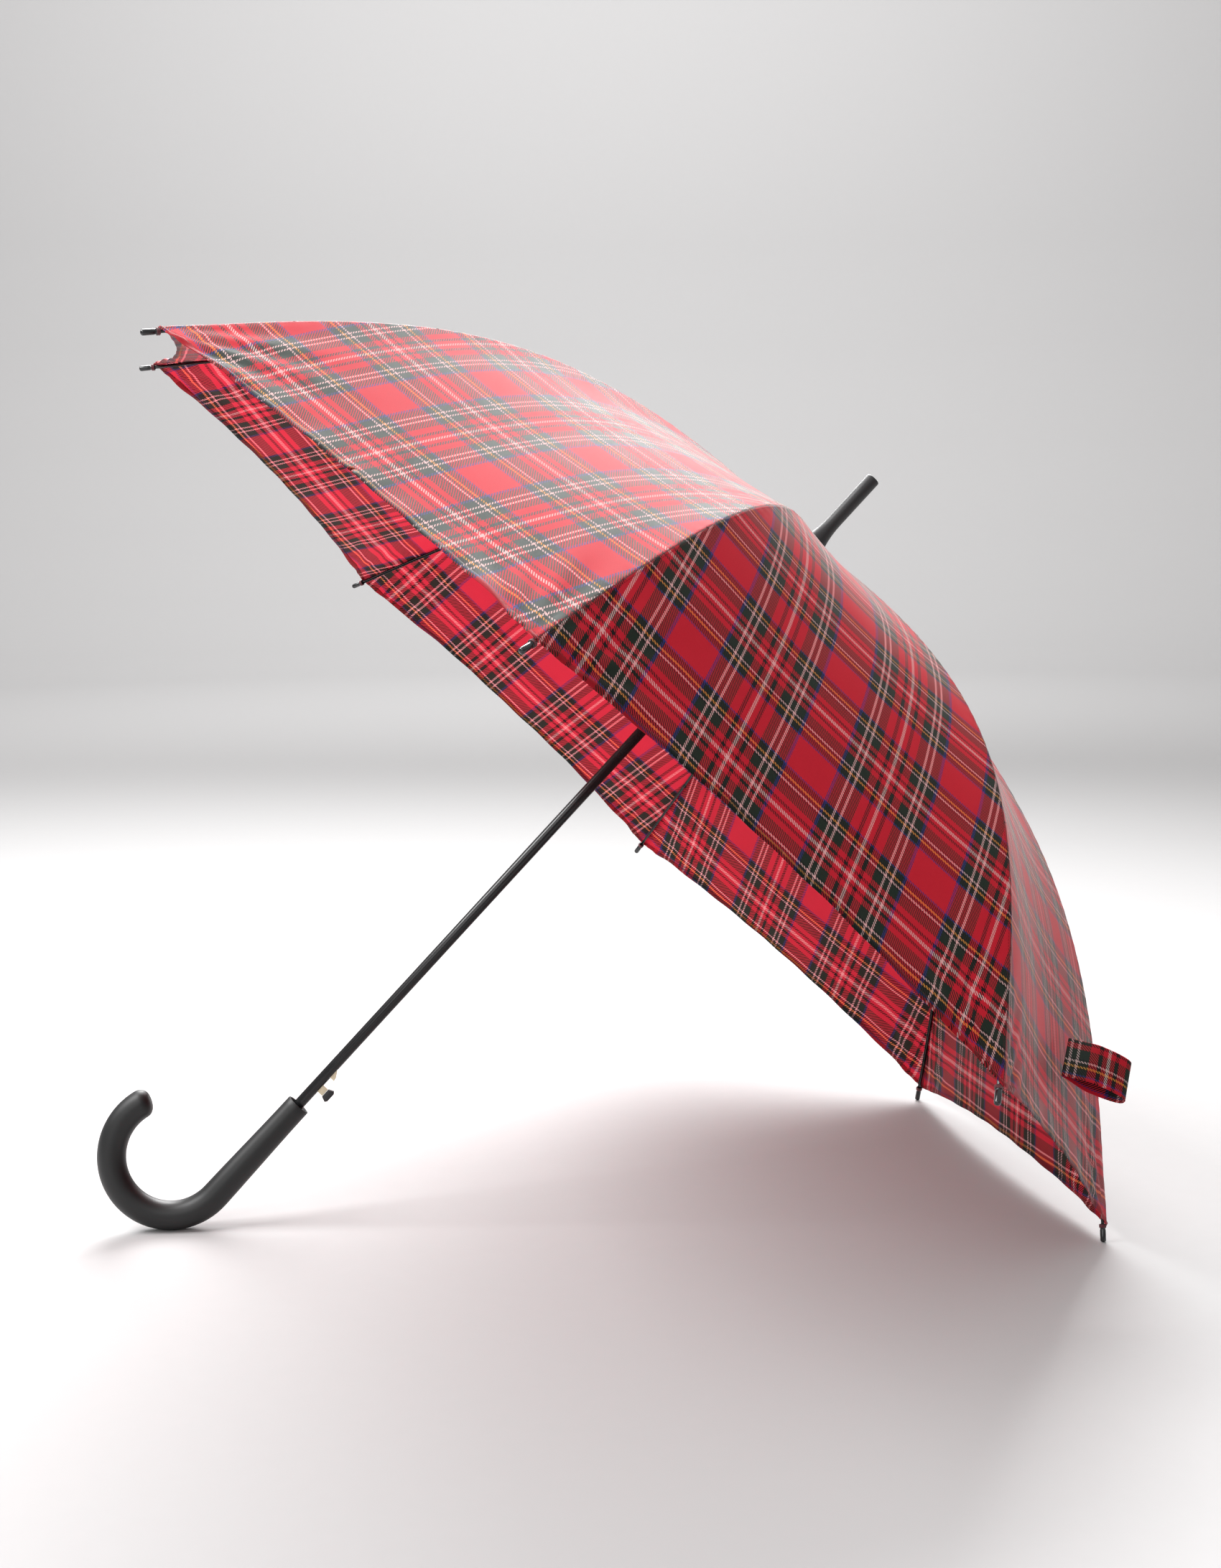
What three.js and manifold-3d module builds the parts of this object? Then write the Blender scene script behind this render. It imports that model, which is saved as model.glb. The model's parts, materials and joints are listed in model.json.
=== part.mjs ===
// A stick umbrella, open and resting on two rib tips and the bend of its crook handle.
// Lengths are millimetres and angles are degrees. The umbrella is modelled along its own shaft, +Z
// towards the ferrule with the rib pivots at z = 0, and then tipped to the way it rests.
import * as THREE from 'three';
import { mergeVertices } from 'three/addons/utils/BufferGeometryUtils.js';
import Module from 'manifold-3d';

const wasm = await Module();
wasm.setup();

// ---- Driving dimensions ----
const SPOKES = 8;
const SPOKE_STEP = 360 / SPOKES;
const FIRST_SPOKE = SPOKE_STEP / 2; // two ribs straddle the side that the umbrella rests on
const CROOK_TURN = -12; // the side that the crook bends to, counted round the shaft
const GAP = 0.3; // clearance between neighbouring pieces

const RIB = {
  length: 618, startSlope: 6.7, turn: 41, bendPeak: 0.54,
  pivotRadius: 9, width: 2.4, height: 2.2, wall: 0.5, inTip: 5,
};
const FOLD = 61.5; // how far a rib swings in when the umbrella closes
const JOINT = { at: 0.46 * RIB.length, drop: 4.4, cheek: 0.5, halfLength: 3.6 };
const EYE = { radius: 1.95, hole: 0.95, wire: 0.5, thickness: 1.6 };
const TIP = { length: 14, radius: 2.3, bore: 1.75, boreDepth: 10 };
const CANOPY = {
  thickness: 0.4, lift: 2, crownLift: 4.8, tipLift: 3.1,
  scallop: 17, sag: 6.2, edge: 12.5, start: -3.6, crowding: 1.35,
};

const SHAFT = { radius: 4.5, bore: 3.8, top: 36 };
const HUB = { bore: SHAFT.radius + GAP, radius: 6.4, outer: 12, below: 5, above: 3.2, slot: 3, floor: 6.8 };
const FERRULE = {
  base: 5.7, length: 73, flare: 8.9, foot: 20, waist: 6.6, radius: 6.1, rounding: 1.2, socket: 38,
};
const RUNNER = { open: -160, head: 4.5, neck: 7 };

const GRIP = { top: -624, straight: 98, mouth: 8.2, mouthDepth: 14, recess: 4, bore: 92, widening: 110 };
const CROOK = { radius: 48, sweep: 206, tube: 11.6, topTube: 10.1, rounding: 8 };
const WEDGE = { bottom: -591, top: -583, reach: 8.2 };
const BUTTON = { stemBottom: -606, stemTop: -599.4, stemReach: 9.3, depth: 5, inner: 7, outer: 10, width: 6 };
// The strap's lean and the line of its edge are shares of outwards, towards mid-panel and down.
const STRAP = {
  at: 0.835 * RIB.length, across: 0.84, width: 34, reach: 50, depth: 15, cloth: 1.2, standOff: 4.5,
  lean: [0.81, -0.48, 0.31], edge: [-0.12, 0.42, 0.92],
};

const rad = THREE.MathUtils.degToRad;
const smooth = THREE.MathUtils.smoothstep;

// ---- Finishes ----
const finish = (color, roughness, metalness) => (
  new THREE.MeshStandardMaterial({ color, roughness, metalness }));
const blackEnamel = () => finish(0x0c0c0d, 0.25, 0.6);
const blackPlastic = () => finish(0x161617, 0.55, 0);
const softTouch = () => finish(0x1b1b1d, 0.75, 0);
const creamPlastic = () => finish(0xe8dcc4, 0.5, 0);
const springSteel = () => finish(0x8d9094, 0.3, 1);
const redCloth = () => finish(0xb51a2c, 0.8, 0);

// ---- Making solids ----
function toSolid(geometry) {
  const bare = geometry.clone();
  bare.deleteAttribute('normal');
  bare.deleteAttribute('uv');
  const merged = mergeVertices(bare, 1e-4);
  const mesh = { numProp: 3, vertProperties: merged.attributes.position.array, triVerts: merged.index.array };
  return new wasm.Manifold(new wasm.Mesh({ ...mesh, triVerts: Uint32Array.from(mesh.triVerts) }));
}

function toGeometry(solid) {
  const { numProp, vertProperties, triVerts } = solid.getMesh();
  const geometry = new THREE.BufferGeometry();
  geometry.setAttribute('position', new THREE.BufferAttribute(Float32Array.from(vertProperties), numProp));
  geometry.setIndex(new THREE.BufferAttribute(Uint32Array.from(triVerts), 1));
  return geometry;
}

const join = (...pieces) => toGeometry(pieces.map(toSolid).reduce((sum, next) => sum.add(next)));
const cut = (body, ...tools) => toGeometry(
  tools.map(toSolid).reduce((left, tool) => left.subtract(tool), toSolid(body)));

// A body turned about the shaft, from a closed outline of [radius, z] points.
function turned(outline, sides = 24) {
  const points = outline.map(([radius, z]) => new THREE.Vector2(radius, z));
  return new THREE.LatheGeometry(points, sides).rotateX(Math.PI / 2);
}

const ring = (inner, outer, low, high, sides) => turned(
  [[inner, low], [outer, low], [outer, high], [inner, high], [inner, low]], sides);

const block = (x0, x1, halfWidth, z0, z1) => new THREE.BoxGeometry(x1 - x0, 2 * halfWidth, z1 - z0)
  .translate((x0 + x1) / 2, 0, (z0 + z1) / 2);

// A flat plate standing in the XZ plane, from an outline of x and z, with its thickness along Y.
function plate(shape, thickness, curveSegments = 8) {
  return new THREE.ExtrudeGeometry(shape, { depth: thickness, bevelEnabled: false, curveSegments })
    .rotateX(Math.PI / 2).translate(0, thickness / 2, 0);
}

const crossPin = (radius, length, x, z, sides = 10) => (
  new THREE.CylinderGeometry(radius, radius, length, sides).translate(x, 0, z));

const outlineOf = (points) => new THREE.Shape(points.map(([x, z]) => new THREE.Vector2(x, z)));

// A round bar along a curve in the XZ plane; each station is [share of the curve, radius].
function roundBar(curve, stations, sides) {
  const last = stations.length - 1;
  const geometry = new THREE.CylinderGeometry(1, 1, 1, sides, last);
  const place = geometry.attributes.position;
  const across = new THREE.Vector3(0, 1, 0);
  for (let i = 0; i < place.count; i++) {
    const [share, radius] = stations[Math.round((0.5 - place.getY(i)) * last)];
    const inward = new THREE.Vector3().crossVectors(curve.getTangent(share), across);
    const point = curve.getPoint(share)
      .addScaledVector(across, place.getX(i) * radius)
      .addScaledVector(inward, place.getZ(i) * radius);
    place.setXYZ(i, point.x, point.y, point.z);
  }
  return geometry;
}

// ---- The rib's line ----
// Its slope at a share of its length: the bend grows up to the peak and fades out to the tip.
function ribSlope(share) {
  const { bendPeak, startSlope, turn } = RIB;
  const bent = share < bendPeak ? share ** 2 / bendPeak : 1 - (1 - share) ** 2 / (1 - bendPeak);
  return rad(startSlope + turn * bent);
}

// The rib's centre line, s from its pivot, moved by lift square to it.
function ribPoint(s, lift = 0) {
  const steps = 80;
  let r = RIB.pivotRadius;
  let z = 0;
  for (let i = 0; i < steps; i++) {
    const slope = ribSlope((i + 0.5) / steps * s / RIB.length);
    r += Math.cos(slope) * s / steps;
    z -= Math.sin(slope) * s / steps;
  }
  const slope = ribSlope(s / RIB.length);
  return { r: r + lift * Math.sin(slope), z: z + lift * Math.cos(slope), slope };
}

class RibLine extends THREE.Curve {
  constructor(from, to) {
    super();
    this.from = from;
    this.to = to;
  }

  getPoint(t, target = new THREE.Vector3()) {
    const { r, z } = ribPoint(THREE.MathUtils.lerp(this.from, this.to, t));
    return target.set(r, 0, z);
  }
}

// A steel channel section, open towards the inside of the umbrella.
function channelSection(width, height, wall) {
  const [w, h] = [width / 2, height / 2];
  return outlineOf([
    [-w, -h], [w, -h], [w, h], [w - wall, h],
    [w - wall, wall - h], [wall - w, wall - h], [wall - w, h], [-w, h],
  ]);
}

// ---- One spoke: rib, joint, stretcher, tip and canopy, in the XZ plane ----
const jointPivot = ribPoint(JOINT.at, -JOINT.drop);
const runnerPivot = { r: RIB.pivotRadius, z: RUNNER.open };
const STRETCHER = Math.hypot(jointPivot.r - runnerPivot.r, jointPivot.z - runnerPivot.z);

// The end of a rib or stretcher: an eye round a pivot at x = 0, with a tongue to x = reach.
function eyeEnd(reach, radius = EYE.radius) {
  const half = RIB.height / 2 - 0.1;
  const shape = new THREE.Shape();
  shape.absarc(0, 0, radius, Math.asin(half / radius), 2 * Math.PI - Math.asin(half / radius), false);
  shape.lineTo(reach, -half);
  shape.lineTo(reach, half);
  const hole = new THREE.Path();
  hole.absarc(0, 0, EYE.hole, 0, 2 * Math.PI, true);
  shape.holes.push(hole);
  return plate(shape, EYE.thickness, 5);
}

function ribGeometry() {
  const section = channelSection(RIB.width, RIB.height, RIB.wall);
  const line = new RibLine(5, RIB.length - RIB.inTip);
  const channel = new THREE.ExtrudeGeometry(section, { steps: 16, bevelEnabled: false, extrudePath: line });
  const root = eyeEnd(8).rotateY(ribSlope(0)).translate(RIB.pivotRadius, 0, 0);
  return join(channel, root);
}

function jointGeometry() {
  const inner = RIB.width / 2 + GAP;
  const outer = inner + JOINT.cheek;
  const cheekOutline = outlineOf([
    [-JOINT.halfLength, 0.9], [-JOINT.halfLength, -2], [-1.7, -JOINT.drop - 1.4], [1.7, -JOINT.drop - 1.4],
    [JOINT.halfLength, -2], [JOINT.halfLength, 0.9],
  ]);
  const cheeks = [-1, 1].map((side) => (
    plate(cheekOutline, JOINT.cheek).translate(0, side * (inner + outer) / 2, 0)));
  const floor = block(-JOINT.halfLength, JOINT.halfLength, inner + 0.1, -2.2, -1.8);
  return join(...cheeks, floor, crossPin(0.55, 2 * inner + 0.2, 0, -JOINT.drop));
}

function stretcherGeometry() {
  const section = channelSection(RIB.width, RIB.height - 0.2, RIB.wall);
  const from = new THREE.Vector3(9, 0, 0);
  const to = new THREE.Vector3(STRETCHER - 10, 0, 0);
  const channel = new THREE.ExtrudeGeometry(
    section, { steps: 1, bevelEnabled: false, extrudePath: new THREE.LineCurve3(from, to) });
  const upper = eyeEnd(14, 1.65).rotateZ(Math.PI).translate(STRETCHER, 0, 0);
  return join(channel, eyeEnd(14), upper);
}

function tipGeometry() {
  const { length, radius, bore, boreDepth } = TIP;
  const outline = [[0, length - boreDepth], [bore, length - boreDepth], [bore, length], [radius, length]];
  const dome = [72, 48, 24, 0].map((angle) => [
    radius * Math.cos(rad(angle)), radius - radius * Math.sin(rad(angle))]);
  return turned([[0, 0], ...dome, ...outline.reverse()], 12);
}

// A point of the canopy's middle surface beside one rib: across runs from 0 on the rib to 1 in the
// middle of the panel. The cloth is pulled straight from rib to rib and a little inwards between them.
function canopyPoint(s, across, side, out = 0) {
  const crown = (CANOPY.crownLift - CANOPY.lift) * (1 - smooth(s, 9, 42));
  const tip = (CANOPY.tipLift - CANOPY.lift) * smooth(s, RIB.length - 60, RIB.length - 18);
  const share = THREE.MathUtils.clamp(s / RIB.length, 0, 1);
  const dip = CANOPY.sag * 4 * share * (1 - 0.75 * share) * (1 - (1 - across) ** 2) * 0.75;
  const { r, z } = ribPoint(s, CANOPY.lift + crown + tip + out - dip);
  const half = rad(SPOKE_STEP / 2);
  const reach = r * Math.sin(half) * across;
  const inset = (CANOPY.thickness / 4 + GAP / 2) * across / Math.cos(half);
  return new THREE.Vector3(r - reach * Math.sin(half), side * Math.max(reach * Math.cos(half) - inset, 0), z);
}

const hemAt = (across) => RIB.length - CANOPY.edge - CANOPY.scallop * (1 - (1 - across) ** 2);

function canopyGeometry() {
  const geometry = new THREE.BoxGeometry(1, 1, 1, 6, 16, 1);
  const place = geometry.attributes.position;
  for (let i = 0; i < place.count; i++) {
    const side = place.getX(i) > 0 ? -1 : 1;
    const across = 2 * Math.abs(place.getX(i));
    const s = THREE.MathUtils.lerp(CANOPY.start, hemAt(across), (place.getY(i) + 0.5) ** CANOPY.crowding);
    const point = canopyPoint(s, across, side, (place.getZ(i) + 0.5) * CANOPY.thickness);
    place.setXYZ(i, point.x, point.y, point.z);
  }
  return geometry;
}

// The closing strap: a folded band of the canopy's cloth, standing off one panel as a loose loop.
function strapGeometry() {
  const { reach, depth, cloth, width } = STRAP;
  const loop = new THREE.Shape();
  loop.absellipse(reach / 2, 0, reach / 2, depth / 2, 0, 2 * Math.PI, false);
  const inside = new THREE.Path();
  inside.absellipse(reach / 2, 0, reach / 2 - cloth, depth / 2 - cloth, 0, 2 * Math.PI, true);
  loop.holes.push(inside);
  return new THREE.ExtrudeGeometry(loop, { depth: width, bevelEnabled: false, curveSegments: 14 })
    .translate(0, 0, -width / 2);
}

function fastenerGeometry() {
  const { reach, depth, cloth, width } = STRAP;
  const tab = block(reach * 0.3, reach * 0.62, width * 0.3, -0.4, 0.4).rotateX(Math.PI / 2);
  return tab.translate(0, depth / 2 - cloth - 1.6, 0);
}

// ---- Pieces on the shaft ----
// A hub with a slot for each spoke and a groove that its pivot wire lies in.
function toothedHub(low, high, teethLow, teethHigh, pivotZ) {
  const sleeve = ring(HUB.bore, HUB.radius, low, high);
  const teeth = ring(HUB.radius - 0.5, HUB.outer, teethLow, teethHigh, 32);
  const slot = block(HUB.floor, HUB.outer + 1, HUB.slot / 2, teethLow - 1, teethHigh + 1);
  const slots = Array.from({ length: SPOKES }, (_, k) => (
    slot.clone().rotateZ(rad(FIRST_SPOKE + k * SPOKE_STEP))));
  const groove = ring(RIB.pivotRadius - 0.8, HUB.outer + 1, pivotZ - 0.85, pivotZ + 0.85, 32);
  return cut(join(sleeve, teeth), ...slots, groove);
}

const pivotWire = (z) => new THREE.TorusGeometry(RIB.pivotRadius, EYE.wire, 6, 32).translate(0, 0, z);

function ferruleGeometry() {
  const { base, length, flare, foot, waist, radius, rounding, socket } = FERRULE;
  const top = base + length;
  const bore = SHAFT.radius + GAP;
  const flared = [0.05, 0.25, 0.5, 0.75, 1].map((t) => [
    waist + (flare - waist) * (1 - t) ** 2, base + foot * t]);
  const rounded = [0, 30, 60, 90].map((angle) => [
    radius - rounding + rounding * Math.cos(rad(angle)), top - rounding + rounding * Math.sin(rad(angle))]);
  return turned([
    [bore, base], [flare, base], ...flared, ...rounded, [0, top], [0, socket], [bore, socket], [bore, base],
  ]);
}

class SpringLine extends THREE.Curve {
  constructor(radius, low, high, turns) {
    super();
    Object.assign(this, { radius, low, high, turns });
  }

  getPoint(t, target = new THREE.Vector3()) {
    const angle = 2 * Math.PI * this.turns * t;
    const z = THREE.MathUtils.lerp(this.low, this.high, t);
    return target.set(this.radius * Math.cos(angle), this.radius * Math.sin(angle), z);
  }
}

function coilGeometry(radius, low, high, turns, wire) {
  const section = new THREE.Shape();
  section.absarc(0, 0, wire, 0, 2 * Math.PI, false);
  const line = new SpringLine(radius, low, high, turns);
  return new THREE.ExtrudeGeometry(
    section, { steps: turns * 9, curveSegments: 3, bevelEnabled: false, extrudePath: line });
}

// The runner when closed: the stretchers stand on it from joints that have swung in with the ribs.
function closedRunner() {
  const dr = jointPivot.r - RIB.pivotRadius;
  const fold = rad(FOLD);
  const swungR = dr * Math.cos(fold) + jointPivot.z * Math.sin(fold);
  const swungZ = jointPivot.z * Math.cos(fold) - dr * Math.sin(fold);
  return swungZ - Math.sqrt(STRETCHER ** 2 - swungR ** 2);
}

const runnerTravel = RUNNER.open - closedRunner();

// The runner's sleeve ends just above the button, and the latch wedge holds it by a window.
function runnerGeometry() {
  const sleeveEnd = BUTTON.stemTop + 3.6 + runnerTravel;
  const body = toothedHub(sleeveEnd, RUNNER.open + RUNNER.neck, RUNNER.open - RUNNER.head,
    RUNNER.open + RUNNER.head, RUNNER.open);
  const window = block(0, HUB.outer, 2.2, WEDGE.bottom - 0.6 + runnerTravel, WEDGE.top + 1.5 + runnerTravel);
  return cut(body, window.rotateZ(rad(180 + CROOK_TURN)));
}

function shaftGeometry() {
  const tube = ring(SHAFT.bore, SHAFT.radius, GRIP.top - GRIP.bore + GAP, SHAFT.top);
  const slots = [[WEDGE.bottom, WEDGE.top], [BUTTON.stemBottom, BUTTON.stemTop]].map(([low, high]) => block(
    2, SHAFT.radius + 1, 1.9, low - 0.4, high + 0.4).rotateZ(rad(180 + CROOK_TURN)));
  return cut(tube, ...slots);
}

// ---- Latch: a sprung lever in the shaft with a wedge and a button stem, in its own XZ plane ----
function leverGeometry() {
  const bar = block(1, 3.1, 1.4, BUTTON.stemBottom - 3, WEDGE.top + 3);
  const stem = block(2.8, BUTTON.stemReach, 1.5, BUTTON.stemBottom, BUTTON.stemTop);
  const wedge = plate(outlineOf([
    [2.8, WEDGE.bottom], [WEDGE.reach, WEDGE.bottom], [WEDGE.reach - 0.6, WEDGE.bottom + 3],
    [4.4, WEDGE.top], [2.8, WEDGE.top],
  ]), 2.8);
  return join(bar, stem, wedge);
}

function buttonGeometry() {
  const { stemBottom, stemTop, stemReach, depth, inner, outer, width } = BUTTON;
  const middle = (stemBottom + stemTop) / 2;
  const x = stemReach + GAP + 0.4;
  const shape = outlineOf([
    [x, middle - inner / 2], [x + depth - 1.2, middle - outer / 2], [x + depth, middle - outer / 2 + 1.4],
    [x + depth, middle + outer / 2 - 1.4], [x + depth - 1.2, middle + outer / 2], [x, middle + inner / 2],
  ]);
  const bevel = { bevelSize: 0.4, bevelThickness: 0.4, bevelSegments: 2, bevelOffset: 0 };
  return new THREE.ExtrudeGeometry(shape, { depth: width - 0.8, ...bevel })
    .rotateX(Math.PI / 2).translate(0, width / 2 - 0.4, 0);
}

class BowLine extends THREE.Curve {
  getPoint(t, target = new THREE.Vector3()) {
    const z = THREE.MathUtils.lerp(BUTTON.stemBottom - 12, WEDGE.top + 12, t);
    return target.set(-3.2 + 3.6 * Math.sin(Math.PI * t), 0, z);
  }
}

function leafGeometry() {
  const section = outlineOf([[-1.2, -0.2], [1.2, -0.2], [1.2, 0.2], [-1.2, 0.2]]);
  return new THREE.ExtrudeGeometry(section, { steps: 16, bevelEnabled: false, extrudePath: new BowLine() });
}

// ---- Handle: a straight grip that runs into a crook, in its own XZ plane ----
class CrookLine extends THREE.Curve {
  getPoint(t, target = new THREE.Vector3()) {
    const s = t * crookLength;
    const bottom = GRIP.top - GRIP.straight;
    if (s < GRIP.straight) return target.set(0, 0, GRIP.top - s);
    const angle = (s - GRIP.straight) / CROOK.radius;
    return target.set(CROOK.radius * (1 - Math.cos(angle)), 0, bottom - CROOK.radius * Math.sin(angle));
  }
}

const crookLength = GRIP.straight + CROOK.radius * rad(CROOK.sweep);

function handleGeometry() {
  const body = crookLength - CROOK.rounding;
  const stations = [[0, CROOK.topTube - 0.6], [0.6 / crookLength, CROOK.topTube]];
  const bends = 26;
  for (let i = 1; i <= bends; i++) {
    const s = body * i / bends;
    const radius = THREE.MathUtils.lerp(CROOK.topTube, CROOK.tube, smooth(s, 0, GRIP.widening));
    stations.push([s / crookLength, radius]);
  }
  for (let angle = 18; angle <= 90; angle += 18) {
    const radius = CROOK.tube - CROOK.rounding * (1 - Math.cos(rad(angle)));
    stations.push([(body + CROOK.rounding * Math.sin(rad(angle))) / crookLength, radius]);
  }
  const bar = roundBar(new CrookLine(), stations, 18);
  const drill = (radius, low, high) => turned([[0, low], [radius, low], [radius, high], [0, high]]);
  const mouth = drill(GRIP.mouth, GRIP.top - GRIP.mouthDepth, GRIP.top + 1);
  const bore = drill(SHAFT.radius + GAP, GRIP.top - GRIP.bore, GRIP.top);
  const notch = block(-CROOK.topTube - 1, -GRIP.mouth + 1, 1.3, GRIP.top - 2, GRIP.top + 1);
  return cut(bar, mouth, bore, notch);
}

// ---- How it rests: the tilt at which the two lowest tips and the crook touch the floor together ----
function tipHeight(tilt) {
  const { r, z } = ribPoint(RIB.length - TIP.radius);
  return z * Math.sin(tilt) - r * Math.cos(rad(SPOKE_STEP / 2)) * Math.cos(tilt) - TIP.radius;
}

function crookHeight(tilt) {
  const lean = Math.cos(rad(CROOK_TURN)) * Math.cos(tilt);
  const centre = CROOK.radius * lean + (GRIP.top - GRIP.straight) * Math.sin(tilt);
  return centre - CROOK.radius * Math.hypot(lean, Math.sin(tilt)) - CROOK.tube;
}

function restingTilt() {
  let [low, high] = [rad(20), rad(70)];
  for (let i = 0; i < 40; i++) {
    const middle = (low + high) / 2;
    [low, high] = tipHeight(middle) < crookHeight(middle) ? [middle, high] : [low, middle];
  }
  return low;
}

// ---- Assembly ----
function add(parent, name, geometry, material) {
  const mesh = new THREE.Mesh(geometry, material);
  mesh.name = name;
  parent.add(mesh);
  return mesh;
}

function groupIn(parent, name) {
  const group = new THREE.Group();
  group.name = name;
  parent.add(group);
  return group;
}

function addSpoke(parent, k) {
  const spoke = groupIn(parent, `spoke_${k}`);
  spoke.rotation.z = rad(FIRST_SPOKE + (k - 1) * SPOKE_STEP);
  add(spoke, `rib_${k}`, ribGeometry(), blackEnamel());
  add(spoke, `canopy_section_${k}`, canopyGeometry(), redCloth());

  const joint = add(spoke, `rib_joint_${k}`, jointGeometry(), blackEnamel());
  const centre = ribPoint(JOINT.at);
  joint.position.set(centre.r, 0, centre.z);
  joint.rotation.y = centre.slope;

  const stretcher = add(spoke, `stretcher_${k}`, stretcherGeometry(), blackEnamel());
  stretcher.position.set(runnerPivot.r, 0, runnerPivot.z);
  stretcher.rotation.y = -Math.atan2(jointPivot.z - runnerPivot.z, jointPivot.r - runnerPivot.r);

  const tip = add(spoke, `tip_cap_${k}`, tipGeometry(), blackPlastic());
  const end = ribPoint(RIB.length);
  tip.position.set(end.r, 0, end.z);
  tip.rotation.y = end.slope - Math.PI / 2;
  return spoke;
}

function addStrap(spoke) {
  const strap = groupIn(spoke, 'strap');
  const root = canopyPoint(STRAP.at, STRAP.across, -1, CANOPY.thickness);
  const down = canopyPoint(STRAP.at + 1, STRAP.across, -1, CANOPY.thickness).sub(root).normalize();
  const towardsMiddle = canopyPoint(STRAP.at, STRAP.across + 0.01, -1, CANOPY.thickness)
    .sub(root).normalize();
  const outwards = new THREE.Vector3().crossVectors(towardsMiddle, down).normalize();
  if (outwards.x < 0) outwards.negate();
  const mixed = ([out, middle, along]) => outwards.clone().multiplyScalar(out)
    .addScaledVector(towardsMiddle, middle).addScaledVector(down, along).normalize();
  const leaning = mixed(STRAP.lean);
  const sideways = new THREE.Vector3().crossVectors(mixed(STRAP.edge), leaning).normalize();
  strap.matrix.makeBasis(leaning, sideways, new THREE.Vector3().crossVectors(leaning, sideways));
  strap.matrix.setPosition(root.addScaledVector(outwards, STRAP.standOff));
  strap.matrix.decompose(strap.position, strap.quaternion, strap.scale);
  add(strap, 'closing_strap', strapGeometry(), redCloth());
  add(strap, 'strap_fastener', fastenerGeometry(), blackPlastic());
}

const umbrella = new THREE.Group();
umbrella.name = 'umbrella';

add(umbrella, 'shaft', shaftGeometry(), blackEnamel());
add(umbrella, 'ferrule', ferruleGeometry(), blackPlastic());
add(umbrella, 'crown_notch', toothedHub(-HUB.below, HUB.above, -HUB.below, HUB.above, 0), blackPlastic());
add(umbrella, 'crown_wire', pivotWire(0), springSteel());
const rosetteBase = HUB.above + GAP;
add(umbrella, 'crown_rosette', ring(HUB.bore, 12.4, rosetteBase, rosetteBase + 0.4, 24), blackPlastic());
add(umbrella, 'runner', runnerGeometry(), blackPlastic());
add(umbrella, 'runner_wire', pivotWire(RUNNER.open), springSteel());
const stopBase = RUNNER.open + RUNNER.neck + GAP;
add(umbrella, 'runner_stop', ring(HUB.bore, 5.7, stopBase, stopBase + 3), blackEnamel());
add(umbrella, 'opening_spring', coilGeometry(6.9, stopBase + 0.5, -HUB.below - 0.9, 18, 0.5), springSteel());

const latch = groupIn(umbrella, 'latch');
latch.rotation.z = rad(180 + CROOK_TURN);
add(latch, 'latch_lever', leverGeometry(), creamPlastic());
add(latch, 'button_cap', buttonGeometry(), blackPlastic());
add(latch, 'latch_spring', leafGeometry(), springSteel());

const handle = groupIn(umbrella, 'handle');
handle.rotation.z = rad(CROOK_TURN);
add(handle, 'handle_grip', handleGeometry(), softTouch());
const collarBottom = GRIP.top - GRIP.mouthDepth + GAP;
const collarTop = GRIP.top - GRIP.recess;
add(handle, 'grip_collar', ring(HUB.bore, GRIP.mouth - GAP, collarBottom, collarTop), blackPlastic());

for (let k = 1; k <= SPOKES; k++) {
  const spoke = addSpoke(umbrella, k);
  if (k === 4) addStrap(spoke);
}

// The shaft points up along +X, and the side away from the floor keeps the crook's opening upwards.
const tilt = restingTilt();
umbrella.matrix.makeBasis(
  new THREE.Vector3(-Math.sin(tilt), 0, Math.cos(tilt)),
  new THREE.Vector3(0, -1, 0),
  new THREE.Vector3(Math.cos(tilt), 0, Math.sin(tilt)),
);
umbrella.matrix.decompose(umbrella.position, umbrella.quaternion, umbrella.scale);
const rest = new THREE.Box3().setFromObject(umbrella, true);
umbrella.position.set(-(rest.min.x + rest.max.x) / 2, -(rest.min.y + rest.max.y) / 2, -rest.min.z);

const stickUmbrella = new THREE.Group();
stickUmbrella.add(umbrella);

export default stickUmbrella;
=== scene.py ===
"""Stick umbrella with a tartan canopy: the visible pieces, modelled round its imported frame.

Lengths are metres. A point is often given beside one spoke: out from the shaft, round it, and up
along it, with the rib pivots at height 0.
"""

import json
import math

import bpy
import numpy as np
from bpy.props import FloatProperty, FloatVectorProperty, IntProperty, PointerProperty
from mathutils import Matrix, Vector, noise

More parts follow.
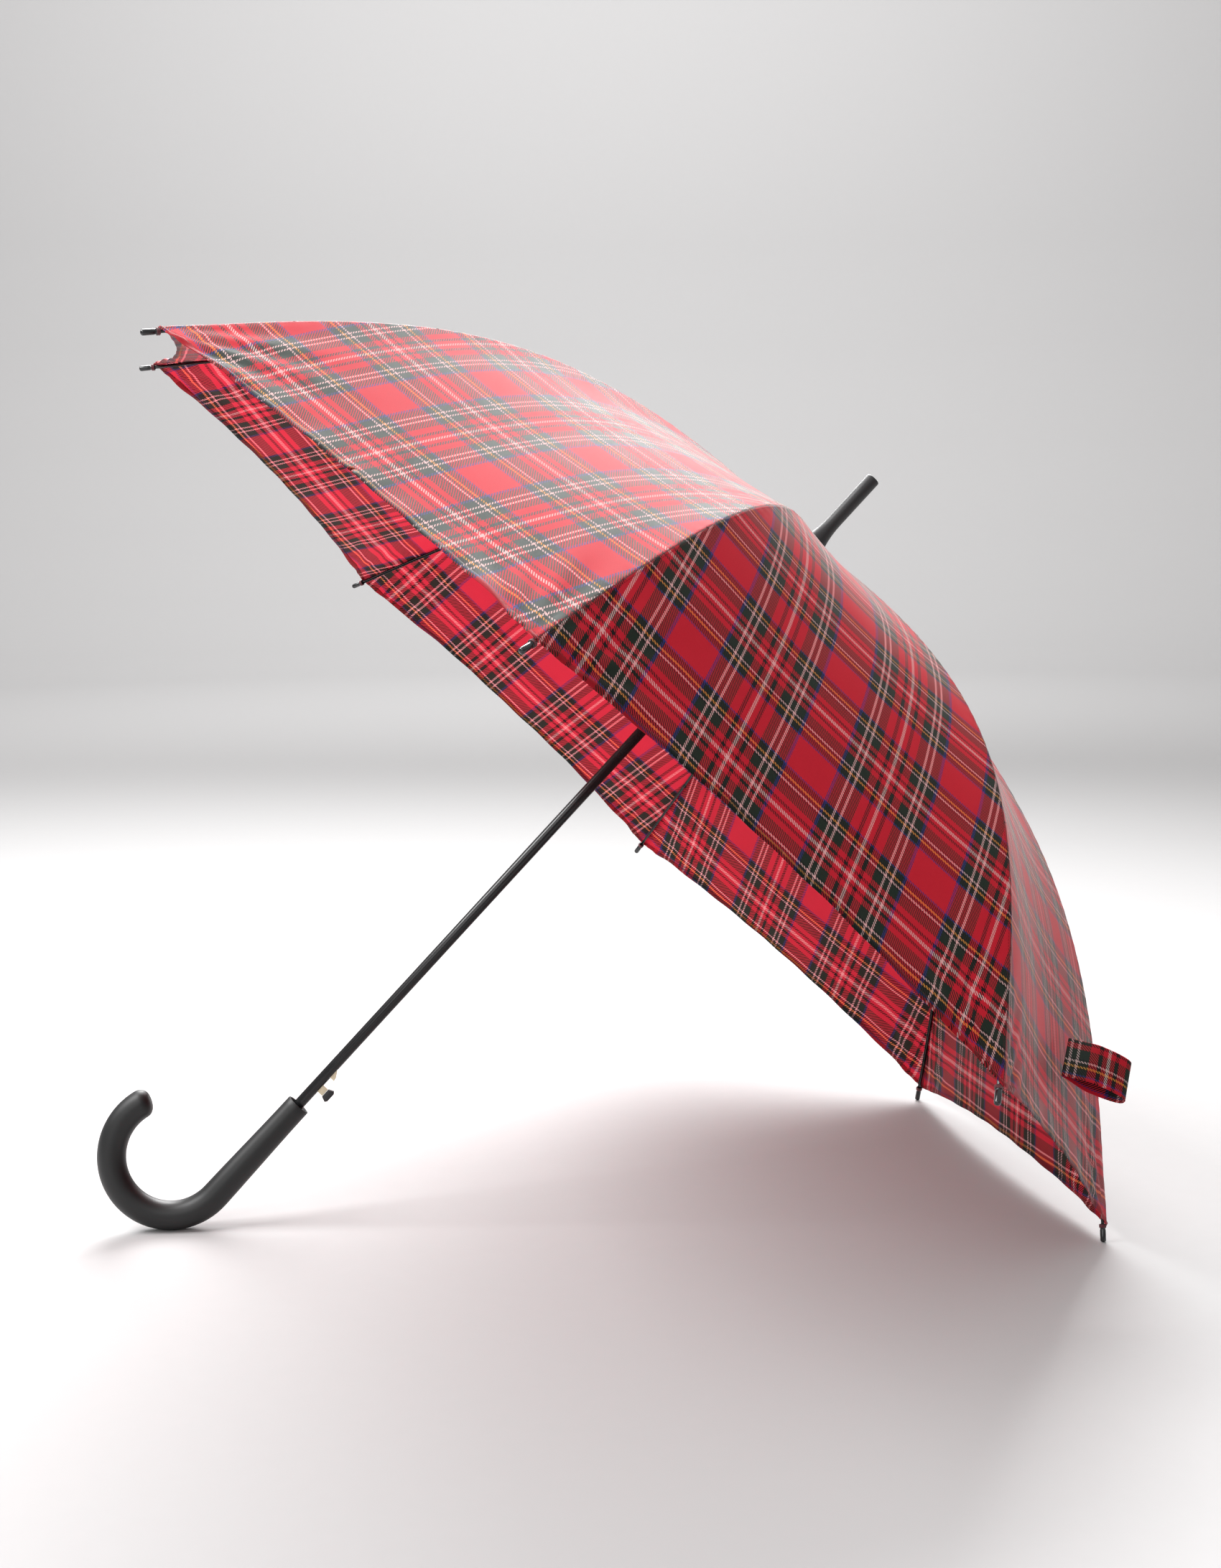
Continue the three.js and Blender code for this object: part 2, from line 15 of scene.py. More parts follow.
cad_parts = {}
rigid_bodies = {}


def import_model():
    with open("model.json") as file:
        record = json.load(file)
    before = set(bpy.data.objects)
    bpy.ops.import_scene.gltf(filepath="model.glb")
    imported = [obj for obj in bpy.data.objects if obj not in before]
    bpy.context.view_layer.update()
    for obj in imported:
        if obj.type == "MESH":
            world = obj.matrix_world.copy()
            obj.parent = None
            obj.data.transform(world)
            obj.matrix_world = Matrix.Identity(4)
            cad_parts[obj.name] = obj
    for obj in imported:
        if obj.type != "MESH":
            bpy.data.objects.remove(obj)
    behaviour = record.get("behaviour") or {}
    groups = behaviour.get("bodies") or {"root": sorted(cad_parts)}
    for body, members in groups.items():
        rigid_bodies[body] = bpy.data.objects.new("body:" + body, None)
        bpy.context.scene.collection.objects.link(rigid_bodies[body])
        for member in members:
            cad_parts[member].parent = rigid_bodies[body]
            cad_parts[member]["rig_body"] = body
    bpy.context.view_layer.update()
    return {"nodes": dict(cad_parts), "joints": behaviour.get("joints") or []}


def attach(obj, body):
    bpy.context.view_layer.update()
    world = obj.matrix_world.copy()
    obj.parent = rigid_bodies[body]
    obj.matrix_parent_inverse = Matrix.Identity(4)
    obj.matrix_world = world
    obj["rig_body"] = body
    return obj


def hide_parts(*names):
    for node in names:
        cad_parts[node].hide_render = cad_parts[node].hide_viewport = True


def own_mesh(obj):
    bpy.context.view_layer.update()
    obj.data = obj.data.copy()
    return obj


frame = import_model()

bl_info = {
    "name": "Stick Umbrella",
    "version": (1, 0, 0),
    "blender": (4, 5, 0),
    "location": "View3D > Sidebar > Umbrella",
    "description": "Models a tartan stick umbrella round its packed frame",
    "category": "Add Mesh",
}

MM = 0.001
SPOKES = range(1, 9)
GORE = math.radians(45)
HALF_GORE = GORE / 2

# ---- Where the frame puts things ----
JOINTS = {joint["name"]: joint for joint in frame["joints"]}
PIVOTS = {k: Vector(JOINTS[f"rib_{k}_fold"]["pos_m"]) for k in SPOKES}
ROUND = {k: Vector(JOINTS[f"rib_{k}_fold"]["axis"]) for k in SPOKES}
CROWN = sum(PIVOTS.values(), Vector()) / len(PIVOTS)
UP = -Vector(JOINTS["runner_slide"]["axis"]).normalized()
OUT = {k: (PIVOTS[k] - CROWN).normalized() for k in SPOKES}
PIVOT_RADIUS = (PIVOTS[1] - CROWN).length


def axes(x, y, z, origin):
    """The matrix that takes a piece's own x, y and z to these directions at origin."""
    turn = Matrix((x, y, z)).transposed().to_4x4()
    return Matrix.Translation(origin) @ turn


ALONG_SHAFT = axes((OUT[8] + OUT[1]).normalized(), (ROUND[8] + ROUND[1]).normalized(), UP, CROWN)


# ---- Sizes and colours ----
class UmbrellaSizes(bpy.types.PropertyGroup):
    """The sizes that the modelled pieces are worked out from."""

    rib_length: FloatProperty(
        name="Rib length", description="Along the rib from its pivot to its tip",
        default=0.618, unit="LENGTH")
    start_slope: FloatProperty(
        name="Slope at the crown", description="How steeply a rib leaves the crown",
        default=math.radians(6.7), subtype="ANGLE")
    rib_turn: FloatProperty(
        name="Rib bend", description="How much steeper a rib is at its tip",
        default=math.radians(41), subtype="ANGLE")
    bend_peak: FloatProperty(
        name="Tightest bend", description="Where the rib bends most, as a share of its length",
        default=0.54, min=0.01, max=0.99, subtype="FACTOR")
    cloth_thickness: FloatProperty(
        name="Cloth thickness", description="Thickness of the canopy's cloth",
        default=0.25 * MM, unit="LENGTH")
    cloth_room: FloatProperty(
        name="Cloth room", description="Thickness that the frame keeps for the cloth",
        default=0.4 * MM, unit="LENGTH")
    lift: FloatProperty(
        name="Lift", description="Height of the cloth over the middle of a rib",
        default=2 * MM, unit="LENGTH")
    crown_lift: FloatProperty(
        name="Lift at the crown", description="The same, over the crown",
        default=4.8 * MM, unit="LENGTH")
    tip_lift: FloatProperty(
        name="Lift at the tips", description="The same, over a tip cap",
        default=3.1 * MM, unit="LENGTH")
    sag: FloatProperty(
        name="Sag", description="How far the middle of a gore is pulled in",
        default=6.2 * MM, unit="LENGTH")
    scallop: FloatProperty(
        name="Scallop", description="How far the hem curves in between two tips",
        default=17 * MM, unit="LENGTH")
    hem_edge: FloatProperty(
        name="Bare tip", description="Rib left bare beyond the cloth",
        default=12.5 * MM, unit="LENGTH")
    cloth_start: FloatProperty(
        name="Cloth start", description="Where the cloth starts, from the rib pivots",
        default=-3.6 * MM, unit="LENGTH")
    hem_width: FloatProperty(
        name="Hem", description="Width of the rolled hem", default=5 * MM, unit="LENGTH")
    fold_keep: FloatProperty(
        name="Folded width", description="Share of a gore's width that is left when the ribs close",
        default=0.2, min=0.01, max=1, subtype="FACTOR")
    rows: IntProperty(
        name="Rows", description="Rows of cloth along a rib",
        default=150, min=20, subtype="UNSIGNED")
    columns: IntProperty(
        name="Columns", description="Columns of cloth on each side of a rib",
        default=34, min=12, subtype="UNSIGNED")


class UmbrellaColours(bpy.types.PropertyGroup):
    """Colours of the cloth and of the hard pieces."""

    red: FloatVectorProperty(
        name="Red", description="Ground of the tartan",
        default=(0.62, 0.011, 0.028), subtype="COLOR")
    green: FloatVectorProperty(
        name="Green", description="Broad dark bands",
        default=(0.005, 0.022, 0.013), subtype="COLOR")
    black: FloatVectorProperty(
        name="Black", description="Narrow dark bands",
        default=(0.004, 0.004, 0.005), subtype="COLOR")
    blue: FloatVectorProperty(
        name="Blue", description="Edges of the broad bands",
        default=(0.016, 0.032, 0.2), subtype="COLOR")
    yellow: FloatVectorProperty(
        name="Yellow", description="Single fine line", default=(0.82, 0.47, 0.05), subtype="COLOR")
    white: FloatVectorProperty(
        name="White", description="Fine lines", default=(0.86, 0.78, 0.74), subtype="COLOR")
    glow: FloatVectorProperty(
        name="Light through the cloth", description="Tint of the light that the cloth lets through",
        default=(0.95, 0.2, 0.3), subtype="COLOR")
    soft_touch: FloatVectorProperty(
        name="Grip", description="Soft-touch coating of the crook",
        default=(0.005, 0.0053, 0.0056), subtype="COLOR")
    enamel: FloatVectorProperty(
        name="Enamel", description="Shaft, ribs and stretchers",
        default=(0.007, 0.007, 0.0075), subtype="COLOR")
    cream: FloatVectorProperty(
        name="Catch", description="Nylon of the catch", default=(0.72, 0.62, 0.44), subtype="COLOR")


def sizes():
    return bpy.context.scene.umbrella_sizes


def colours():
    return bpy.context.scene.umbrella_colours


# ---- Shader building ----
class Wire:
    """A node's output, so that shader maths reads as plain expressions."""

    def __init__(self, maker, socket):
        self.maker = maker
        self.socket = socket

    def maths(self, operation, *values):
        return self.maker.node("ShaderNodeMath", {"operation": operation}, *values)

    def __add__(self, other):
        return self.maths("ADD", self, other)

    __radd__ = __add__

    def __sub__(self, other):
        return self.maths("SUBTRACT", self, other)

    def __rsub__(self, other):
        return self.maths("SUBTRACT", other, self)

    def __mul__(self, other):
        return self.maths("MULTIPLY", self, other)

    __rmul__ = __mul__

    def __truediv__(self, other):
        return self.maths("DIVIDE", self, other)

    def above(self, edge):
        return self.maths("GREATER_THAN", self, edge)

    def below(self, edge):
        return self.maths("LESS_THAN", self, edge)

    def fraction(self):
        return self.maths("FRACT", self)

    def folded(self, length):
        """Runs from 0 up to length and back, over and over."""
        return self.maths("PINGPONG", self, length)

    def sine(self):
        return self.maths("SINE", self)

    def __abs__(self):
        return self.maths("ABSOLUTE", self)

    def at_most(self, other):
        return self.maths("MINIMUM", self, other)

    def at_least(self, other):
        return self.maths("MAXIMUM", self, other)

    def second(self):
        """The second output of the same node."""
        return Wire(self.maker, self.socket.node.outputs[1])


class Maker:
    """Adds nodes to one material; values go to a node's sockets in order, or by name."""

    def __init__(self, name):
        self.material = bpy.data.materials.new(name)
        self.material.use_nodes = True
        self.tree = self.material.node_tree
        self.tree.nodes.clear()

    def node(self, kind, settings=None, *values, output=0, **named):
        node = self.tree.nodes.new(kind)
        for setting, value in (settings or {}).items():
            if setting == "stops":
                self.set_stops(node.color_ramp, value)
            else:
                setattr(node, setting, value)
        for key, value in [*enumerate(values), *named.items()]:
            socket = node.inputs[key.replace("_", " ") if isinstance(key, str) else key]
            if isinstance(value, Wire):
                self.tree.links.new(value.socket, socket)
            else:
                socket.default_value = value
        return Wire(self, node.outputs[output])

    @staticmethod
    def set_stops(ramp, stops):
        while len(ramp.elements) > 1:
            ramp.elements.remove(ramp.elements[-1])
        for i, (position, colour) in enumerate(stops):
            stop = ramp.elements[0] if i == 0 else ramp.elements.new(position)
            stop.position = position
            stop.color = (*colour, 1)

    def bands(self, share, stops):
        """Flat bands of colour along share, which runs from 0 to 1."""
        ramp = self.node("ShaderNodeValToRGB", {"stops": stops}, share)
        ramp.socket.node.color_ramp.interpolation = "CONSTANT"
        return ramp

    def blend(self, factor, first, second, mode="MIX"):
        mixed = self.node("ShaderNodeMix", {"data_type": "RGBA", "blend_type": mode})
        node = mixed.socket.node
        factor_in, first_in, second_in = node.inputs[0], node.inputs[6], node.inputs[7]
        for socket, value in ((factor_in, factor), (first_in, first), (second_in, second)):
            if isinstance(value, Wire):
                self.tree.links.new(value.socket, socket)
            else:
                socket.default_value = value if isinstance(value, (int, float)) else (*value, 1)
        return Wire(self, node.outputs[2])

    def place(self):
        """Object coordinates, which are the row's own."""
        return self.node("ShaderNodeTexCoord", output=3)

    def speckle(self, scale, detail=3.0, rough=0.5, where=None):
        """Noise from 0 to 1, with scale spots to a metre."""
        return self.node(
            "ShaderNodeTexNoise", None,
            Vector=where or self.place(), Scale=scale, Detail=detail, Roughness=rough)

    def bump(self, height, strength, distance):
        return self.node(
            "ShaderNodeBump", None, Height=height, Strength=strength, Distance=distance)

    def surface(self, shader):
        output = self.tree.nodes.new("ShaderNodeOutputMaterial")
        self.tree.links.new(shader.socket, output.inputs["Surface"])
        return self.material


def mapped(wire, low, high):
    """A 0 to 1 wire, stretched to run from low to high."""
    return wire * (high - low) + low


# ---- Materials ----
# Half of the tartan's repeat, as [width in millimetres, colour] from the single white line to the
# middle of the broad red: first the bands along a gore, then the bands across it.
BANDS_ALONG = [
    (1.3, "white"), (3.7, "red"), (3, "black"), (6.4, "red"), (7.4, "green"), (2, "white"),
    (3.5, "green"), (2, "white"), (6.7, "green"), (2.3, "blue"), (17.4, "red"),
]
BANDS_ACROSS = [
    (1.4, "white"), (3.1, "red"), (2.5, "black"), (5, "red"), (8.5, "green"), (1.4, "black"),
    (1.9, "white"), (2.7, "black"), (2.1, "yellow"), (5.4, "black"), (1.7, "blue"), (14.8, "red"),
]
TWILL_PITCH = 2.3 * MM
THREAD_PITCH = 0.42 * MM

# A row of stitches: how far it is from its edge, half its width, the length of a stitch with its
# gap, and the stitch's share of that length.
HEM_STITCHES = (4.6 * MM, 0.28 * MM, 2.6 * MM, 0.68)
SEAM_STITCHES = (2.2 * MM, 0.22 * MM, 2.4 * MM, 0.66)
# Near the crown the seams lie too close together for stitches, and nearer still for the painted shade
# along the groove.
STITCHES_FROM = 70 * MM
GROOVE_SHADE_FROM = 12 * MM
GROOVE_SHADE_HALF_WIDTH = 0.5 * MM


def half_repeat(bands):
    """Length of half a repeat, in millimetres."""
    return sum(width for width, _ in bands)


def band_stops(bands):
    """Where each band starts, as a share of the half repeat, and its colour."""
    palette = colours()
    starts = np.cumsum([0] + [width for width, _ in bands[:-1]]) / half_repeat(bands)
    return [
        (float(start), tuple(getattr(palette, colour)))
        for start, (_, colour) in zip(starts, bands)]


def stitched(from_edge, run, row):
    """1 on the stitches of a row that runs beside an edge, and 0 between them."""
    offset, half_width, length, share = row
    return abs(from_edge - offset).below(half_width) * (run / length).fraction().below(share)


def tartan_print(m, across, along):
    """Two sets of bands that show through each other in a fine diagonal hatch."""
    wobble = mapped(m.speckle(9, 2), -0.6 * MM, 0.6 * MM)
    sets = []
    for where, bands in ((across + wobble, BANDS_ALONG), (along + wobble, BANDS_ACROSS)):
        half = half_repeat(bands) * MM
        sets.append(m.bands(where.folded(half) / half, band_stops(bands)))
    hatch = ((across - along) / TWILL_PITCH).fraction().above(0.5)
    return m.blend(hatch, *sets)


def tartan_material(name="tartan_cloth", painted_shade_factor=1.0):
    """Printed twill, faintly worn, with its stitches and a painted shade line along the groove over
    each rib; a shade factor below 1 darkens the whole cloth as painted shade.
    """
    m = Maker(name)
    cloth_map = m.node("ShaderNodeUVMap", {"uv_map": "Cloth"})
    across = m.node("ShaderNodeSeparateXYZ", None, cloth_map)
    along = across.second()
    edge_map = m.node("ShaderNodeUVMap", {"uv_map": "Edges"})
    from_seam = m.node("ShaderNodeSeparateXYZ", None, edge_map)
    from_hem = from_seam.second()
    printed = tartan_print(m, across, along)

    yarn = m.node("ShaderNodeCombineXYZ", None, across * 900, along * 900, 0.0)
    fleck = m.speckle(1, 2, 0.6, yarn)
    worn = m.blend(mapped(fleck, 0.0, 0.22), printed, (0.35, 0.2, 0.2), "MULTIPLY")
    patchy = m.blend(mapped(m.speckle(14, 2), 0.0, 0.3), worn, (0.72, 0.6, 0.6), "MULTIPLY")

    hem_row = stitched(from_hem, across, HEM_STITCHES)
    seam_row = stitched(from_seam, along, SEAM_STITCHES)
    stitches = hem_row.at_least(seam_row) * along.above(STITCHES_FROM)
    sewn = m.blend(stitches * 0.75, patchy, (0.12, 0.004, 0.01))
    # Painted shade: a dark line along the groove over each rib, where the cloth dips.
    groove = from_seam.below(GROOVE_SHADE_HALF_WIDTH) * along.above(GROOVE_SHADE_FROM)
    final = m.blend(groove * 0.75, sewn, (0.02, 0.003, 0.006))
    # Painted shade: the whole cloth darkened by this factor, used for the rolled hem.
    if painted_shade_factor < 1:
        final = m.blend(1.0, final, (painted_shade_factor, painted_shade_factor, painted_shade_factor), "MULTIPLY")

    ribbed = ((across - along) * (2 * math.pi / TWILL_PITCH)).sine() * 0.5
    threads = ((across + along * 0.2) * (2 * math.pi / THREAD_PITCH)).sine() * 0.2
    height = ribbed + threads + fleck * 0.5 - stitches * 1.2
    body = m.node(
        "ShaderNodeBsdfPrincipled", None, Base_Color=final, Roughness=mapped(fleck, 0.46, 0.62),
        Normal=m.bump(height, 0.22, 0.12 * MM), Sheen_Weight=0.35, Sheen_Roughness=0.2,
        Sheen_Tint=(1.0, 0.86, 0.84, 1), Specular_IOR_Level=0.16)

    # Pale bands let more light through than dark ones.
    through = m.node("ShaderNodeBsdfTranslucent", None, (*colours().glow, 1))
    brightness = m.node("ShaderNodeRGBToBW", None, final)
    share = (brightness * 2.6 + 0.04).at_most(0.48)
    return m.surface(m.node("ShaderNodeMixShader", None, share, body, through))


def enamel_material():
    """Glossy black enamel on steel, with a slight orange peel and rubbed patches."""
    m = Maker("black_enamel")
    rubbed = m.speckle(38, 4, 0.6)
    peel = m.speckle(1600, 2)
    colour = m.blend(mapped(rubbed, 0.0, 0.5), tuple(colours().enamel), (0.02, 0.02, 0.022))
    return m.surface(m.node(
        "ShaderNodeBsdfPrincipled", None, Base_Color=colour, Roughness=mapped(rubbed, 0.14, 0.34),
        Normal=m.bump(peel, 0.12, 0.02 * MM), Specular_IOR_Level=0.3,
        Coat_Weight=0.2, Coat_Roughness=0.1))


def moulded_material(name, colour, rough, grain=900, strength=0.25, coat=0.0):
    """Moulded plastic: a fine spark-eroded grain, flow marks and handling marks."""
    m = Maker(name)
    flow = m.speckle(22, 5, 0.62)
    texture = m.speckle(grain, 3, 0.55)
    pale = tuple(min(1.0, 1.5 * part + 0.004) for part in colour)
    tone = m.blend(mapped(flow, 0.0, 0.7), tuple(colour), pale)
    height = texture + flow * 0.2
    return m.surface(m.node(
        "ShaderNodeBsdfPrincipled", None, Base_Color=tone,
        Roughness=mapped(flow, rough - 0.07, rough + 0.09),
        Normal=m.bump(height, strength, 0.05 * MM), Coat_Weight=coat, Coat_Roughness=0.08))


def soft_touch_material():
    """Matt rubbery coating, with very fine grain and faintly shinier where it is held."""
    m = Maker("soft_touch_black")
    held = m.speckle(16, 4, 0.55)
    dust = m.speckle(420, 4, 0.7)
    grain = m.speckle(2600, 2)
    base = m.blend(mapped(held, 0.0, 0.6), tuple(colours().soft_touch), (0.008, 0.0085, 0.009))
    colour = m.blend(dust.above(0.72) * 0.16, base, (0.09, 0.09, 0.09))
    return m.surface(m.node(
        "ShaderNodeBsdfPrincipled", None, Base_Color=colour, Roughness=mapped(held, 0.42, 0.52),
        Normal=m.bump(grain + dust * 0.3, 0.15, 0.03 * MM), Specular_IOR_Level=0.5))


def wire_material():
    """Drawn spring wire: bright steel with fine drawing marks."""
    m = Maker("spring_steel")
    marks = m.speckle(700, 4, 0.7)
    tarnish = m.speckle(60, 3)
    colour = m.blend(tarnish, (0.5, 0.5, 0.52), (0.3, 0.29, 0.28))
    return m.surface(m.node(
        "ShaderNodeBsdfPrincipled", None, Base_Color=colour, Metallic=1.0,
        Roughness=mapped(marks, 0.22, 0.42), Normal=m.bump(marks, 0.2, 0.02 * MM)))


def thread_material():
    """Twisted sewing thread, dark red."""
    m = Maker("sewing_thread")
    wave = m.node(
        "ShaderNodeTexWave", {"bands_direction": "DIAGONAL"}, Vector=m.place(), Scale=900.0)
    twist = wave.second()
    colour = m.blend(twist, (0.03, 0.003, 0.005), (0.16, 0.01, 0.02))
    return m.surface(m.node(
        "ShaderNodeBsdfPrincipled", None, Base_Color=colour, Roughness=mapped(twist, 0.5, 0.7),
        Normal=m.bump(twist, 0.5, 0.05 * MM), Sheen_Weight=0.3))


def hook_pad_material():
    """Woven pad of tiny hooks that the strap closes with."""
    m = Maker("hook_pad")
    hooks = m.node("ShaderNodeTexVoronoi", None, Vector=m.place(), Scale=1400.0)
    tint = m.speckle(90, 2)
    colour = m.blend(hooks, (0.03, 0.03, 0.03), (0.006, 0.006, 0.007))
    return m.surface(m.node(
        "ShaderNodeBsdfPrincipled", None, Base_Color=colour, Roughness=mapped(tint, 0.6, 0.8),
        Normal=m.bump(hooks, 0.7, 0.15 * MM)))


def stage_material():
    """Plain pale studio floor."""
    m = Maker("stage_paper")
    fibre = m.speckle(60, 4)
    colour = m.blend(mapped(fibre, 0.0, 0.3), (0.46, 0.456, 0.457), (0.44, 0.436, 0.437))
    return m.surface(m.node(
        "ShaderNodeBsdfPrincipled", None, Base_Color=colour, Roughness=mapped(fibre, 0.75, 0.85),
        Specular_IOR_Level=0.2))


MATERIALS = {
    "tartan_cloth": tartan_material,
    # The rolled hem: the same cloth, darkened to 0.6 as painted shade.
    "tartan_hem": lambda: tartan_material("tartan_hem", 0.6),
    "black_enamel": enamel_material,
    "black_plastic": lambda: moulded_material("black_plastic", (0.012, 0.012, 0.013), 0.42),
    "gloss_black_plastic": lambda: moulded_material(
        "gloss_black_plastic", (0.006, 0.006, 0.007), 0.2, grain=500, strength=0.08, coat=0.3),
    "cream_plastic": lambda: moulded_material(
        "cream_plastic", tuple(colours().cream), 0.4, grain=1100, strength=0.2),
    "soft_touch_black": soft_touch_material,
    "spring_steel": wire_material,
    "sewing_thread": thread_material,
    "hook_pad": hook_pad_material,
    "stage_paper": stage_material,
}


def material(name):
    """The finish of this name, which the frame's own plain materials share their names with."""
    key = f"{name}_finish"
    if key not in bpy.data.materials:
        MATERIALS[name]().name = key
    return bpy.data.materials[key]


# ---- Handling pieces ----
def pick_nothing():
    if bpy.context.object and bpy.context.object.mode != "OBJECT":
        bpy.ops.object.mode_set(mode="OBJECT")
    bpy.ops.object.select_all(action="DESELECT")


def pick_only(obj):
    pick_nothing()
    obj.select_set(True)
    bpy.context.view_layer.objects.active = obj


def apply_modifier(obj, kind, **settings):
    """Adds a modifier with these settings and makes its result the piece's own mesh."""
    pick_only(obj)
    modifier = obj.modifiers.new(kind.lower(), kind)
    for key, value in settings.items():
        setattr(modifier, key, value)
    bpy.ops.object.modifier_apply(modifier=modifier.name)


def settle(obj, name, matrix=None):
    """Names a modelled piece and moves its place into its mesh."""
    pick_only(obj)
    obj.name = name
    obj.data.name = name
    if matrix is not None:
        obj.matrix_world = matrix @ obj.matrix_world
    bpy.ops.object.transform_apply(location=True, rotation=True, scale=True)
    return obj


def face_outwards(obj):
    """Merges points that meet and turns every face outwards."""
    pick_only(obj)
    bpy.ops.object.mode_set(mode="EDIT")
    bpy.ops.mesh.select_all(action="SELECT")
    bpy.ops.mesh.remove_doubles(threshold=1e-6)
    bpy.ops.mesh.normals_make_consistent(inside=False)
    bpy.ops.object.mode_set(mode="OBJECT")


def shade(obj, angle=40):
    pick_only(obj)
    bpy.ops.object.shade_smooth_by_angle(angle=math.radians(angle))


def finish_piece(obj, body, finish, replaces=()):
    """Gives a modelled piece its finish and its body, and hides the nodes that it replaces."""
    obj.data.materials.clear()
    obj.data.materials.append(material(finish))
    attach(obj, body)
    if replaces:
        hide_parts(*replaces)
    return obj


class Turning:
    """A round piece, built up ring by ring from the face that was extruded last."""

    def __init__(self, radius, height, sides=40):
        pick_nothing()
        bpy.ops.mesh.primitive_circle_add(
            vertices=sides, radius=radius, fill_type="NGON", location=(0, 0, height))
        self.piece = bpy.context.object
        self.radius = radius
        self.centre = Vector((0, 0, height))
        bpy.ops.object.transform_apply(location=True, rotation=False, scale=False)
        bpy.ops.object.mode_set(mode="EDIT")
        bpy.ops.mesh.select_all(action="SELECT")

    def size(self, radius):
        """Sizes the last ring to this radius."""
        share = radius / self.radius
        bpy.ops.transform.resize(value=(share, share, share), center_override=self.centre)
        self.radius = radius

    def to(self, radius, height):
        """The next ring, at this radius and height."""
        bpy.ops.mesh.extrude_region_move()
        move = Vector((0, 0, height - self.centre.z))
        if move.length > 0:
            bpy.ops.transform.translate(value=move)
        self.centre = self.centre + move
        self.size(radius)
        return self

    def through(self, rings):
        for radius, height in rings:
            self.to(radius, height)
        return self

    def around(self, radius, angle, middle):
        """The next ring, swung by angle about a line along Y through middle."""
        bpy.ops.mesh.extrude_region_move()
        bpy.ops.transform.rotate(
            value=-angle, orient_axis="Y", orient_type="GLOBAL", center_override=middle)
        self.centre = middle + Matrix.Rotation(angle, 3, "Y") @ (self.centre - middle)
        self.size(radius)
        return self

    def done(self, name, matrix):
        """Closes the piece and puts it in its place."""
        bpy.ops.object.mode_set(mode="OBJECT")
        face_outwards(self.piece)
        settle(self.piece, name, matrix)
        shade(self.piece)
        return self.piece


def dressed(node, name, finish, bevel=0.1 * MM, angle=40):
    """A finished copy of a hard CAD piece: merged, with broken edges and smooth shading."""
    mesh = frame["nodes"][node].data.copy()
    piece = bpy.data.objects.new(name, mesh)
    mesh.name = name
    bpy.context.scene.collection.objects.link(piece)
    pick_only(piece)
    bpy.ops.object.mode_set(mode="EDIT")
    bpy.ops.mesh.select_all(action="SELECT")
    bpy.ops.mesh.remove_doubles(threshold=2e-6)
    bpy.ops.mesh.dissolve_limited(angle_limit=math.radians(0.4))
    bpy.ops.object.mode_set(mode="OBJECT")
    if bevel:
        apply_modifier(
            piece, "BEVEL", width=bevel, segments=2, limit_method="ANGLE",
            angle_limit=math.radians(45), use_clamp_overlap=True)
    shade(piece, angle)
    return finish_piece(piece, frame["nodes"][node]["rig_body"], finish, [node])


def mesh_piece(name, points, faces, maps=None):
    """A piece from points and faces; maps are UV maps as arrays of one pair for each point."""
    mesh = bpy.data.meshes.new(name)
    mesh.from_pydata([tuple(point) for point in points], [], faces)
    loops = np.zeros(len(mesh.loops), int)
    mesh.loops.foreach_get("vertex_index", loops)
    for key, pairs in (maps or {}).items():
        layer = mesh.uv_layers.new(name=key)
        layer.data.foreach_set("uv", np.asarray(pairs, np.float32)[loops].ravel())
    piece = bpy.data.objects.new(name, mesh)
    bpy.context.scene.collection.objects.link(piece)
    mesh.polygons.foreach_set("use_smooth", np.ones(len(mesh.polygons), bool))
    return piece


def grid_faces(rows, columns, closed=False):
    """Quads of a grid whose points are listed row by row; closed joins each row's ends."""
    faces = []
    for i in range(rows - 1):
        here, below = i * columns, (i + 1) * columns
        for j in range(columns if closed else columns - 1):
            beside = (j + 1) % columns
            faces.append((here + j, here + beside, below + beside, below + j))
    return faces


# ---- The canopy's shape ----
# How far each gore's pattern is off its middle, and how far all of them are down the gore.
GORE_SHIFT = {1: -0.013, 2: 0.05, 3: 0.016, 4: -0.036, 5: 0.031, 6: -0.05, 7: 0.004, 8: 0.042}
CLOTH_SHIFT = -0.0185
# Beside a rib the cloth's columns keep their distance from the seam, up to this far out.
SEAM_BAND = 6 * MM


def smooth(x, low, high):
    """Rises from 0 at low to 1 at high, level at both ends."""
    share = np.clip((x - low) / (high - low), 0, 1)
    return share * share * (3 - 2 * share)


